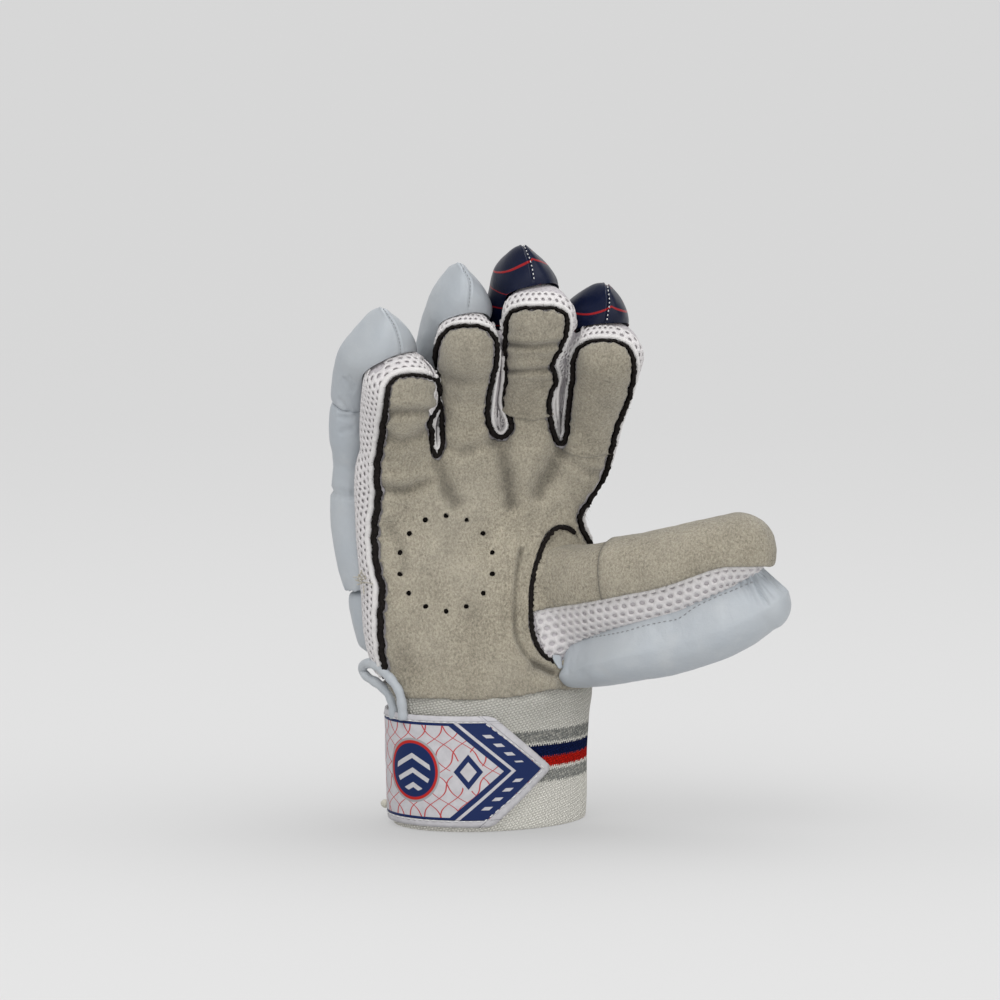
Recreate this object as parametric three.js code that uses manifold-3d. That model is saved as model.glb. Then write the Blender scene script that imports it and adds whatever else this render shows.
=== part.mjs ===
// A right-hand cricket batting glove, standing on its wristband with the palm facing -Y.
// Millimetres, +Z up. +X is the thumb's side and +Y the padded back of the hand.

import * as THREE from "three";
import { mergeVertices } from "three/addons/utils/BufferGeometryUtils.js";
import Module from "manifold-3d";

const wasm = await Module();
wasm.setup();

// Driving dimensions.
const GAP = 0.35; // clearance between neighbouring pieces
const CLOTH = 1.5; // mesh cloth with its lining
const SUEDE = 1.7; // palm leather
const PILE = 0.5; // the palm leather stands this much off the cloth
const PROUD = 0.7; // the edging stands this much above the palm leather
const EDGING = 2.2; // width of the edging
const STALL_START = 0.42; // share of a finger's path where its stall grows out of the hand
const STALL_SEAM = 172; // the stalls join the hand's sleeve at this height
const TIP_LENGTH = 12.5; // the domed end of a stall
const THUMB_EDGING_END = 30; // the edging round the thumb's foot ends at this x
const SAG = 0.25; // the flat steps of the strap stand this much further off the wristband

// Fineness of the faceted shapes.
const ROUND = 10; // points round a finger's section
const OUTLINE_STEPS = 60; // straight steps round the palm leather
const TUBE_STEPS = 4; // sections along a stall
const STRAP_STEPS = 18; // sections along the strap's straight part
const BEND_STEPS = 14; // sections along the bound loop

const FAR = 400; // further than any piece reaches
const FACING = 10; // thinner than any finger, and thicker than the palm leather
const BOXY = 0.8; // how square a roll's section is: 1 is an ellipse

const CUFF = { height: 54, wall: 2.4, halfWidthBottom: 42.5, halfWidthTop: 44, halfDepth: 28.5 };

// The hand's sleeve, a section a row: its left and right ends, how far its middle is bowed back, half its thickness,
// and how round its edges are.
const HAND_SECTIONS = [
  { z: 54.35, left: [-44, 1], right: [44, -1], bow: 0, half: 28.5, round: 1 },
  { z: 66, left: [-50, 1], right: [47, -2], bow: 1, half: 25, round: 0.9 },
  { z: 80, left: [-54, 1], right: [47, -4], bow: 3, half: 21.5, round: 0.8 },
  { z: 100, left: [-55.5, 1], right: [45.5, -5], bow: 4, half: 19, round: 0.75 },
  { z: 120, left: [-57.5, 0], right: [42, -6], bow: 4, half: 17, round: 0.72 },
  { z: 134, left: [-58.5, -1], right: [38, -8], bow: 3.5, half: 16, round: 0.7 },
  { z: 148, left: [-59, -2], right: [44, -11], bow: 2.5, half: 15, round: 0.7 },
  { z: 158, left: [-58.5, -5], right: [47.5, -15], bow: 1, half: 13, round: 0.75 },
  { z: 164, left: [-55, -8], right: [46, -18], bow: 0.5, half: 8, round: 0.8 },
];

// The middle line of each finger from wrist to tip: place, half its width and half its depth. The turn, in degrees,
// swings its back towards the little finger. Its hood is the table's below, this much longer and wider.
const FINGERS = {
  little: {
    turn: 22,
    hood: { longer: 1.12, wider: 1.2 },
    path: [
      [-37, -4, 79, 10, 15],
      [-40.5, -5, 105, 12, 15],
      [-43, -2.5, 134, 13, 10],
      [-43.8, -8, 157, 14, 12.5],
      [-45, -14.5, 173, 14.2, 14.5],
      [-46.4, -25, 188, 14.6, 14],
    ],
  },
  ring: {
    turn: 8,
    hood: { longer: 1.14, wider: 1.15 },
    path: [
      [-17, -2, 79, 11, 15],
      [-17, -3, 105, 11.5, 15],
      [-17, -3, 134, 12, 12.5],
      [-15.8, -9, 159, 12.2, 13.2],
      [-16, -18, 183, 12.3, 13.5],
      [-19.7, -33.5, 205, 12.5, 13.5],
    ],
  },
  middle: {
    turn: 13,
    hood: { longer: 0.92, wider: 1 },
    path: [
      [4.5, -1, 79, 11, 15],
      [5.5, -3.5, 105, 11.5, 15],
      [8, -5.5, 134, 12, 12],
      [10.6, -12.5, 161, 12, 13],
      [9.8, -23, 189, 12.3, 13.5],
      [7.6, -42.5, 216.5, 14.2, 14],
    ],
  },
  index: {
    turn: 3,
    hood: { longer: 0.9, wider: 1 },
    path: [
      [26, -1, 79, 10.5, 15],
      [26.3, -4, 105, 11, 15],
      [27.6, -8, 134, 11.2, 10],
      [36.1, -15.5, 158, 11.6, 12.5],
      [37.2, -28, 180, 12.4, 13.5],
      [36.2, -45.5, 201, 14.4, 13.5],
    ],
  },
};
const THUMB = {
  side: [-0.55, -0.75, -0.15],
  path: [
    [18, -2, 91, 9, 22.5],
    [31, -19, 96, 11, 21],
    [43, -37.5, 102, 12.4, 17.6],
    [60.5, -52, 108, 12.4, 16.4],
    [75, -62, 114.6, 12, 14.4],
    [85.4, -68.2, 119.6, 11, 12.4],
  ],
};

// The rolls behind a finger, a section a row: where along its path, how far past that and how far behind it, how far
// aside, half its width as a share of the finger's, and half its thickness.
const HOOD = [
  { at: 0.8, along: 0, back: 22, wide: 0.8, half: 8 },
  { at: 0.83, along: 0, back: 23, wide: 0.95, half: 10.5 },
  { at: 0.97, along: 0, back: 21, wide: 0.95, half: 12 },
  { at: 1, along: 6, back: 16.5, wide: 0.88, half: 13.5 },
  { at: 1, along: 14, back: 13, wide: 0.62, half: 13 },
  { at: 1, along: 20, back: 11.5, wide: 0.3, half: 11.5 },
  { at: 1, along: 24, back: 10, wide: 0.05, half: 9.5 },
];
const FINGER_ROLL = [
  { at: 0.17, along: 0, back: 22, wide: 0.8, half: 6 },
  { at: 0.19, along: 0, back: 23.5, wide: 0.96, half: 9 },
  { at: 0.38, along: 0, back: 24, wide: 1, half: 10.5 },
  { at: 0.5, along: 0, back: 23, wide: 0.95, half: 9 },
  { at: 0.64, along: 0, back: 23.5, wide: 1, half: 10.5 },
  { at: 0.765, along: 0, back: 23, wide: 0.96, half: 9.5 },
  { at: 0.785, along: 0, back: 22, wide: 0.8, half: 7 },
];
const HAND_PAD = [
  { at: 0, along: -6, back: 22, wide: 0.95, half: 5 },
  { at: 0, along: -3, back: 23, wide: 1.15, half: 8 },
  { at: 0.06, along: 0, back: 23.5, wide: 1.2, half: 9.5 },
  { at: 0.14, along: 0, back: 23.5, wide: 1.12, half: 8 },
  { at: 0.155, along: 0, back: 22.5, wide: 0.9, half: 5 },
];
const THUMB_ROLL = [
  { at: 0.05, along: 0, back: 28, aside: 9, wide: 0.9, half: 6 },
  { at: 0.09, along: 0, back: 28, aside: 8, wide: 1.3, half: 10 },
  { at: 0.25, along: 0, back: 28, aside: 5, wide: 1.3, half: 12.5 },
  { at: 0.5, along: 0, back: 27.5, aside: 2, wide: 1.3, half: 14 },
  { at: 0.75, along: 0, back: 25.5, aside: 1, wide: 1.3, half: 14.8 },
  { at: 1, along: 0, back: 22.5, aside: 0, wide: 1.28, half: 14 },
  { at: 1, along: 5.5, back: 23, aside: 0, wide: 1.05, half: 11.5 },
  { at: 1, along: 9, back: 23.5, aside: 0, wide: 0.75, half: 7.5 },
  { at: 1, along: 10.8, back: 24, aside: 0, wide: 0.33, half: 3 },
];

// The palm leather's outline on each finger, as x and z: up its left side, round its arched tip, down its right side
// and into the fork.
const PALM_FINGERS = [
  {
    left: [[-51.9, 144.4], [-54.6, 153.3], [-54.5, 163.1], [-55.5, 175.9]],
    arch: { x: -43.3, z: 182.5, half: 11.6, rise: 10.2 },
    right: [[-34.8, 173], [-32.6, 163], [-29.1, 157.8]],
  },
  {
    left: [[-26.3, 162], [-26.4, 170], [-28.2, 181]],
    arch: { x: -20.3, z: 200.5, half: 10.7, rise: 11.3 },
    right: [[-7.8, 188], [-9, 177], [-6.8, 170.5], [-2.5, 167.8]],
  },
  {
    left: [[0.4, 171], [-0.8, 181], [-3.2, 192]],
    arch: { x: 5.6, z: 208.8, half: 11.2, rise: 12.2 },
    right: [[13.2, 196], [16.6, 187], [16.8, 172.5], [19.6, 164.5], [23.5, 162]],
  },
  {
    left: [[26.2, 166], [25.2, 175], [23.2, 188]],
    arch: { x: 33.9, z: 195.5, half: 10.9, rise: 12 },
    right: [[45.8, 179], [44, 162], [40.3, 146], [36.6, 136]],
  },
];
// The rest of that outline, from the index finger's side round the wrist and up the little finger's.
const PALM_SIDES = [
  [35.4, 128.5], [41, 117], [44.5, 100], [45.5, 84], [44.5, 70], [42, 61], [30, 57.5], [2, 55.4], [-24, 55.4],
  [-39.5, 55.8], [-43.7, 59.7], [-46.3, 65], [-48.6, 74], [-50.3, 86], [-50.2, 101.5], [-52.4, 112], [-53.6, 129],
];

// The ring of small holes punched in the palm.
const HOLES = { x: -24.8, z: 112.3, halfWidth: 20, halfHeight: 20, count: 14, radius: 0.8 };

// The thumb's leather ends this far below its middle line, and its two parts meet at this share of its path.
const THUMB_LEATHER = { below: 3, seam: 0.34 };

// Angles in degrees run round the wristband from the thumb's side, over the palm's: 90 is the palm, 180 the little
// finger's side.
const STRAP = { low: 2.5, high: 49.5, thick: 1.8, point: 66, shoulder: 101.5, end: 298 };

// A bound loop at the opening beside the wristband, as the middle line of its roll.
const LOOP = {
  radius: 2,
  path: [
    [-42.5, -16.5, 51.5],
    [-45, -14.5, 56],
    [-48.5, -10.5, 60.5],
    [-51.5, -5.5, 63.8],
    [-54.5, 1, 66],
    [-55.8, 4.5, 65.4],
    [-54.6, 7.5, 62.6],
    [-51.5, 9.5, 58.5],
    [-48.5, 10.5, 54.5],
    [-46.6, 11, 51.5],
  ],
};

const COLOURS = {
  cloth: { color: 0xd9d4d4, roughness: 0.9, metalness: 0 },
  leather: { color: 0xccd3d8, roughness: 0.5, metalness: 0 },
  navy: { color: 0x101b3a, roughness: 0.45, metalness: 0 },
  suede: { color: 0xa59c8b, roughness: 0.95, metalness: 0 },
  edging: { color: 0x100f0e, roughness: 0.95, metalness: 0 },
  elastic: { color: 0xd5d3cb, roughness: 0.9, metalness: 0 },
  strap: { color: 0xd8d9df, roughness: 0.5, metalness: 0 },
};

const vector = (p) => new THREE.Vector3(p[0], p[1], p[2]);

// A closed skin over rings of points, with flat ends.
function loft(rings) {
  const across = rings[0].length;
  const points = rings.flat();
  const faces = [];
  for (let i = 0; i + 1 < rings.length; i++) {
    for (let j = 0; j < across; j++) {
      const a = i * across + j;
      const b = i * across + ((j + 1) % across);
      faces.push(a, b, a + across, b, b + across, a + across);
    }
  }
  for (const [ring, start] of [[rings[0], 0], [rings.at(-1), (rings.length - 1) * across]]) {
    const middle = ring.reduce((sum, p) => sum.add(p), new THREE.Vector3()).divideScalar(across);
    points.push(middle);
    for (let j = 0; j < across; j++) {
      const [a, b] = [start + j, start + ((j + 1) % across)];
      faces.push(...(start ? [a, b, points.length - 1] : [b, a, points.length - 1]));
    }
  }
  return new THREE.BufferGeometry().setFromPoints(points).setIndex(faces);
}

// A closed geometry as a solid that can be joined and cut. Its faces are turned out if its rings ran the other way.
function solid(geometry) {
  const bare = geometry.index ? geometry.clone() : geometry;
  bare.deleteAttribute("normal");
  bare.deleteAttribute("uv");
  const merged = mergeVertices(bare, 1e-4);
  const triVerts = new Uint32Array(merged.index.array);
  const vertProperties = new Float32Array(merged.attributes.position.array);
  const made = new wasm.Manifold(new wasm.Mesh({ numProp: 3, vertProperties, triVerts }));
  if (made.volume() >= 0) return made;
  for (let i = 0; i < triVerts.length; i += 3) {
    [triVerts[i + 1], triVerts[i + 2]] = [triVerts[i + 2], triVerts[i + 1]];
  }
  return new wasm.Manifold(new wasm.Mesh({ numProp: 3, vertProperties, triVerts }));
}

const join = (solids) => solids.reduce((sum, s) => sum.add(s));

const largest = (made) => made.decompose().reduce((best, s) => (s.volume() > best.volume() ? s : best));

// A box between two corners.
function box(low, high) {
  const size = vector(high).sub(vector(low));
  const middle = vector(high).add(vector(low)).divideScalar(2);
  return solid(new THREE.BoxGeometry(size.x, size.y, size.z).translate(middle.x, middle.y, middle.z));
}

// A finger's or the thumb's place, directions and size at a share of its path.
function digitFrame(digit) {
  const line = new THREE.CatmullRomCurve3(digit.path.map(vector), false, "catmullrom", 0.5);
  const sizes = new THREE.CatmullRomCurve3(
    digit.path.map((row) => new THREE.Vector3(row[3], row[4], 0)),
    false,
    "catmullrom",
    0.5,
  );
  const turn = THREE.MathUtils.degToRad(digit.turn ?? 0);
  const wanted = digit.side ? vector(digit.side) : new THREE.Vector3(Math.cos(turn), Math.sin(turn), 0);
  return (share) => {
    const along = line.getTangent(share);
    const side = wanted.clone().addScaledVector(along, -wanted.dot(along)).normalize();
    const front = side.clone().cross(along);
    const size = sizes.getPoint(share);
    return { place: line.getPoint(share), along, side, front, halfWidth: size.x, halfDepth: size.y };
  };
}

// Points round a section that lies square to the digit; a round of 1 is an ellipse, and less is boxier.
function section(frame, { along = 0, back = 0, aside = 0, halfWidth, halfDepth, round = 0.85 }) {
  const middle = frame.place
    .clone()
    .addScaledVector(frame.along, along)
    .addScaledVector(frame.front, -back)
    .addScaledVector(frame.side, aside);
  return Array.from({ length: ROUND }, (_, i) => {
    const angle = (2 * Math.PI * i) / ROUND;
    const swell = (value) => Math.sign(value) * Math.abs(value) ** round;
    return middle
      .clone()
      .addScaledVector(frame.side, halfWidth * swell(Math.cos(angle)))
      .addScaledVector(frame.front, halfDepth * swell(Math.sin(angle)));
  });
}

// A finger's or thumb's closed tube with a domed end, grown outwards by a distance.
function digitTube(digit, grow, start) {
  const frameAt = digitFrame(digit);
  const rings = [];
  for (let i = 0; i <= TUBE_STEPS; i++) {
    const frame = frameAt(THREE.MathUtils.lerp(start, 1, i / TUBE_STEPS));
    const along = i === 0 ? -grow : 0;
    rings.push(section(frame, { along, halfWidth: frame.halfWidth + grow, halfDepth: frame.halfDepth + grow }));
  }
  const tip = frameAt(1);
  for (const degrees of [30, 57, 80]) {
    const lean = THREE.MathUtils.degToRad(degrees);
    const shrink = Math.cos(lean);
    rings.push(
      section(tip, {
        along: (TIP_LENGTH + grow) * Math.sin(lean),
        halfWidth: (tip.halfWidth + grow) * shrink,
        halfDepth: (tip.halfDepth + grow) * shrink,
      }),
    );
  }
  return solid(loft(rings));
}

// The hand's sleeve, a bowed slab with rounded sides, grown outwards by a distance.
function handSlab(grow, lower = 0) {
  const last = HAND_SECTIONS.length - 1;
  const rings = HAND_SECTIONS.map(({ z, left, right, bow, half, round }, i) => {
    const level = z - (i === 0 ? lower : 0) + (i === last ? grow : 0);
    const middle = [(left[0] + right[0]) / 2, (left[1] + right[1]) / 2];
    const reach = (right[0] - left[0]) / 2;
    const slope = (right[1] - left[1]) / (right[0] - left[0]);
    return Array.from({ length: 2 * ROUND }, (_, j) => {
      const angle = (Math.PI * j) / ROUND;
      const across = Math.cos(angle);
      const thick = Math.sign(Math.sin(angle)) * Math.abs(Math.sin(angle)) ** round;
      const x = middle[0] + (reach + grow) * across;
      const y = middle[1] + slope * reach * across + bow * (1 - across * across) - (half + grow) * thick;
      return new THREE.Vector3(x, y, level);
    });
  });
  return solid(loft(rings));
}

// The hand without its thumb, grown outwards by a distance.
function handForm(grow, lower = 0) {
  const stalls = Object.values(FINGERS).map((finger) => digitTube(finger, grow, STALL_START));
  return join([handSlab(grow, lower), ...stalls]);
}

const thumbForm = (grow) => digitTube(THUMB, grow, 0);

// A roll behind a digit, from its table of sections.
function rollSolid(digit, rows, grow = 0, { longer, wider } = { longer: 1, wider: 1 }) {
  const frameAt = digitFrame(digit);
  return solid(
    loft(
      rows.map(({ at, along, back, aside, wide, half }) => {
        const frame = frameAt(at);
        const halfWidth = frame.halfWidth * wide * wider + grow;
        return section(frame, { along: along * longer, back, aside, halfWidth, halfDepth: half + grow, round: BOXY });
      }),
    ),
  );
}

// A prism along Y over an outline of [x, z] points.
function prism(points) {
  const shape = new THREE.Shape(points.map(([x, z]) => new THREE.Vector2(x, z)));
  const made = new THREE.ExtrudeGeometry(shape, { depth: 2 * FAR, bevelEnabled: false });
  return solid(made.translate(0, 0, -FAR).rotateX(Math.PI / 2));
}

// Points of the palm leather's outline, on a smooth closed curve.
function palmOutline() {
  const archPoints = ({ x, z, half, rise }) =>
    [150, 120, 90, 60, 30].map((degrees) => {
      const angle = THREE.MathUtils.degToRad(degrees);
      return [x + half * Math.cos(angle), z + rise * Math.sin(angle) ** BOXY];
    });
  const fingers = PALM_FINGERS.flatMap(({ left, arch, right }) => [...left, ...archPoints(arch), ...right]);
  const corners = [...fingers, ...PALM_SIDES].map(([x, z]) => new THREE.Vector3(x, 0, z));
  const curve = new THREE.CatmullRomCurve3(corners, true, "centripetal");
  return curve.getPoints(OUTLINE_STEPS).slice(0, -1).map(({ x, z }) => [x, z]);
}

// An outline moved outwards by a distance.
function offset(points, distance) {
  return points.map(([x, z], i) => {
    const [beforeX, beforeZ] = points.at(i - 1);
    const [afterX, afterZ] = points[(i + 1) % points.length];
    const length = Math.hypot(afterX - beforeX, afterZ - beforeZ);
    return [x - (distance * (afterZ - beforeZ)) / length, z + (distance * (afterX - beforeX)) / length];
  });
}

// A band of a width along an outline, as a prism.
const band = (points, width) => prism(offset(points, width / 2)).subtract(prism(offset(points, -width / 2)));

// What faces the palm's side of a layer: the layer less its own form moved back.
const facing = (layer, form) => layer.subtract(form.translate([0, FACING, 0]));

// A round roll bent along a path.
function bentRoll(path, radius) {
  const curve = new THREE.CatmullRomCurve3(path.map(vector), false, "centripetal");
  const ring = new THREE.Shape();
  ring.absarc(0, 0, radius, 0, 2 * Math.PI);
  const options = { extrudePath: curve, steps: BEND_STEPS, curveSegments: 2, bevelEnabled: false };
  return solid(new THREE.ExtrudeGeometry(ring, options));
}

// A point on the wristband's outside, this far off it.
function cuffPoint(degrees, z, grow) {
  const angle = THREE.MathUtils.degToRad(degrees);
  const halfWidth = THREE.MathUtils.lerp(CUFF.halfWidthBottom, CUFF.halfWidthTop, z / CUFF.height) + grow;
  return new THREE.Vector3(halfWidth * Math.cos(angle), -(CUFF.halfDepth + grow) * Math.sin(angle), z);
}

function cuffTube(grow, low, high) {
  const around = Array.from({ length: 2 * ROUND }, (_, i) => (180 * i) / ROUND);
  return solid(loft([low, high].map((z) => around.map((degrees) => cuffPoint(degrees, z, grow)))));
}

// The strap, square at the back and pointed on the palm's side.
function strap() {
  const middle = (STRAP.low + STRAP.high) / 2;
  const reach = (STRAP.high - STRAP.low) / 2;
  const { point, shoulder, end } = STRAP;
  const angleAt = THREE.MathUtils.lerp;
  const pointed = [0, 0.25, 0.5, 0.75].map((share) => angleAt(point, shoulder, share));
  const straight = Array.from({ length: STRAP_STEPS + 1 }, (_, i) => angleAt(shoulder, end, i / STRAP_STEPS));
  const inside = GAP + SAG;
  const outside = inside + STRAP.thick;
  const rings = [...pointed, ...straight].map((degrees) => {
    const half = Math.max(1, reach * Math.min(1, (degrees - point) / (shoulder - point)));
    return [
      cuffPoint(degrees, middle - half, inside),
      cuffPoint(degrees, middle - half, outside),
      cuffPoint(degrees, middle + half, outside),
      cuffPoint(degrees, middle + half, inside),
    ];
  });
  return solid(loft(rings));
}

// The ring of holes, as six-sided prisms.
function holePrisms() {
  const { x, z, halfWidth, halfHeight, count, radius } = HOLES;
  const around = (number, reachX, reachZ, centreX, centreZ) =>
    Array.from({ length: number }, (_, i) => {
      const angle = (2 * Math.PI * (i + 0.5)) / number;
      return [centreX + reachX * Math.cos(angle), centreZ + reachZ * Math.sin(angle)];
    });
  const centres = around(count, halfWidth, halfHeight, x, z);
  return join(centres.map(([holeX, holeZ]) => prism(around(6, radius, radius, holeX, holeZ))));
}

const glove = new THREE.Group();

// Adds a piece to the glove, less any crumbs that its cuts left.
function addPiece(name, made, colour) {
  const body = largest(made);
  const { numProp, vertProperties, triVerts } = body.getMesh();
  const positions = new Float32Array((vertProperties.length / numProp) * 3);
  for (let i = 0; i < positions.length / 3; i++) {
    positions.set(vertProperties.subarray(i * numProp, i * numProp + 3), i * 3);
  }
  const geometry = new THREE.BufferGeometry();
  geometry.setAttribute("position", new THREE.BufferAttribute(positions, 3));
  geometry.setIndex(new THREE.BufferAttribute(triVerts, 1));
  geometry.computeVertexNormals();
  const mesh = new THREE.Mesh(geometry, new THREE.MeshStandardMaterial(COLOURS[colour]));
  mesh.name = name;
  glove.add(mesh);
}

// The cloth: the hand's sleeve, a stall on each finger, and the thumb's.
function addCloth() {
  const shell = handForm(0).subtract(handForm(-CLOTH, 2 * CLOTH));
  const below = box([-FAR, -FAR, -FAR], [FAR, FAR, STALL_SEAM - GAP]);
  const above = box([-FAR, -FAR, STALL_SEAM], [FAR, FAR, FAR]);
  addPiece("hand_sleeve", shell.intersect(below).subtract(thumbForm(-CLOTH)), "cloth");
  const left = (made) => made.boundingBox().min[0];
  const stalls = shell.intersect(above).decompose().sort((a, b) => left(a) - left(b));
  Object.keys(FINGERS).forEach((name, i) => addPiece(`${name}_stall`, stalls[i], "cloth"));
  addPiece("thumb_stall", thumbForm(0).subtract(thumbForm(-CLOTH)).subtract(handForm(GAP)), "cloth");
}

// The padded rolls: a hood, a long roll and a pad behind each finger, each cut to clear what was there before.
function addRolls() {
  let taken = join([handForm(GAP), thumbForm(GAP)]);
  for (const [name, finger] of Object.entries(FINGERS)) {
    const hoodColour = name === "middle" || name === "index" ? "navy" : "leather";
    addPiece(`${name}_hood`, rollSolid(finger, HOOD, 0, finger.hood).subtract(taken), hoodColour);
    taken = taken.add(rollSolid(finger, HOOD, GAP, finger.hood));
    for (const [piece, rows] of [["roll", FINGER_ROLL], ["hand_pad", HAND_PAD]]) {
      addPiece(`${name}_${piece}`, rollSolid(finger, rows).subtract(taken), "leather");
      taken = taken.add(rollSolid(finger, rows, GAP));
    }
  }
}

const edgingTop = PILE + SUEDE + PROUD;

// The palm leather, punched, and the edging round it and round the thumb's foot.
function addPalm() {
  const outline = palmOutline();
  const under = handForm(PILE);
  const leather = handForm(PILE + SUEDE);
  const edging = handForm(edgingTop);
  const footInside = PILE + SUEDE + GAP;
  const foot = thumbForm(footInside + EDGING);
  const clearOfFoot = thumbForm(footInside + EDGING + GAP);
  const leatherLayer = leather.subtract(under).intersect(prism(offset(outline, -EDGING / 2 - GAP)));
  addPiece("palm_leather", facing(leatherLayer, leather).subtract(clearOfFoot).subtract(holePrisms()), "suede");
  const edgingLayer = edging.subtract(under).intersect(band(outline, EDGING));
  addPiece("palm_edging", facing(edgingLayer, edging).subtract(clearOfFoot), "edging");
  const palmSide = box([-FAR, -FAR, 0], [THUMB_EDGING_END, FAR, FAR]);
  const footLayer = edging.subtract(under).intersect(foot.subtract(thumbForm(footInside)));
  addPiece("thumb_edging", facing(footLayer, edging).intersect(palmSide), "edging");
}

// The leather over the thumb, between two shares of its path and past its end.
function thumbLeather(from, to, past) {
  const reach = 40;
  const frameAt = digitFrame(THUMB);
  const rings = [0, 0.25, 0.5, 0.75, 1].map((share) =>
    section(frameAt(THREE.MathUtils.lerp(from, to, share)), {
      along: share === 1 ? past : 0,
      back: THUMB_LEATHER.below - reach,
      halfWidth: reach,
      halfDepth: reach,
      round: 0.1,
    }),
  );
  const layer = thumbForm(PILE + SUEDE).subtract(thumbForm(PILE));
  return layer.intersect(solid(loft(rings))).subtract(handForm(edgingTop));
}

function addThumb() {
  const clearOfPalm = handForm(edgingTop + GAP);
  addPiece("thumb_roll", rollSolid(THUMB, THUMB_ROLL).subtract(clearOfPalm).subtract(thumbForm(GAP)), "leather");
  addPiece("thumb_base_leather", thumbLeather(0, THUMB_LEATHER.seam, 0), "suede");
  addPiece("thumb_tip_leather", thumbLeather(THUMB_LEATHER.seam + 0.01, 1, 30), "suede");
}

// The knitted wristband, open at both ends, its strap and the bound loop beside it.
function addWrist() {
  const { height, wall } = CUFF;
  addPiece("wristband", cuffTube(0, 0, height).subtract(cuffTube(-wall, -1, height + 1)), "elastic");
  addPiece("strap", strap(), "strap");
  const beside = join([handForm(edgingTop + GAP), cuffTube(GAP, -1, height + GAP)]);
  addPiece("wrist_loop", bentRoll(LOOP.path, LOOP.radius).subtract(beside), "leather");
}

addCloth();
addRolls();
addPalm();
addThumb();
addWrist();

// The origin is the middle of the glove's box, on the surface that it stands on.
const bounds = new THREE.Box3().setFromObject(glove);
const middle = bounds.getCenter(new THREE.Vector3());
glove.position.set(-middle.x, -middle.y, -bounds.min.z);

export default glove;
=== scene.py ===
"""A right-hand cricket batting glove, standing on its wristband with the palm towards the camera.

Lengths are in millimetres in the glove's own directions, where the palm faces -Y, the thumb is at +X and
the padded back of the hand is at +Y. They become metres in the frame when a mesh is made.
"""

import math
import bpy
import numpy as np
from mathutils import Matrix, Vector, noise
from mathutils.bvhtree import BVHTree
from mathutils.geometry import delaunay_2d_cdt


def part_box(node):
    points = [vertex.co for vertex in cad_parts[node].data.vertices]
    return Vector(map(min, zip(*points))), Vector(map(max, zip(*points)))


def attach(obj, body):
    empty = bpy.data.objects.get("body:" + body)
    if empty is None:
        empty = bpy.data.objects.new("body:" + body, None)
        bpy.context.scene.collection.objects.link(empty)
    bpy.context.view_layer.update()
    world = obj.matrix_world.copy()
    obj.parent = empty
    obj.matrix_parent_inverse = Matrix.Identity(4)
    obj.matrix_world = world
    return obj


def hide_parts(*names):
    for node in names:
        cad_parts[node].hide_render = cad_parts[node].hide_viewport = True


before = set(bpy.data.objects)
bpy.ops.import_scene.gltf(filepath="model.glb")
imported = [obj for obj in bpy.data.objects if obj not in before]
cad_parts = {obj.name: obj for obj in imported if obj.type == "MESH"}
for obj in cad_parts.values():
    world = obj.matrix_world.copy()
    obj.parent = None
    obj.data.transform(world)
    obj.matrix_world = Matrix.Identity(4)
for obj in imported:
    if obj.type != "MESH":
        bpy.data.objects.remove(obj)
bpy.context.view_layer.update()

MM = 0.001

# The construction's sizes, as its solids have them.
CUFF = {"height": 54.0, "wall": 2.4, "half_width_low": 42.5, "half_width_high": 44.0, "half_depth": 28.5}
PILE = 0.5
SUEDE = 1.7
TIP_LENGTH = 12.5
STALL_START = 0.38

# The glove's own origin in the frame.
cuff_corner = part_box("wristband")[1]
SHIFT = np.array([
    cuff_corner.x / MM - CUFF["half_width_high"],
    cuff_corner.y / MM - CUFF["half_depth"],
    0.0,
])

# The hand's sleeve: height, left end, right end (x and y), how far its middle is bowed back, half its
# thickness, and how round its edges are.
HAND_SECTIONS = np.array([
    [54.35, -44, 1, 44, -1, 0, 28.5, 1],
    [66, -50, 1, 47, -2, 1, 25, 0.9],
    [80, -54, 1, 47, -4, 3, 21.5, 0.8],
    [100, -55.5, 1, 45.5, -5, 4, 19, 0.75],
    [120, -57.5, 0, 42, -6, 4, 17, 0.72],
    [134, -58.5, -1, 38, -8, 3.5, 16, 0.7],
    [148, -59, -2, 44, -11, 2.5, 15, 0.7],
    [158, -58.5, -5, 47.5, -15, 1, 13, 0.75],
    [164, -55, -8, 46, -18, 0.5, 8, 0.8],
])

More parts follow.
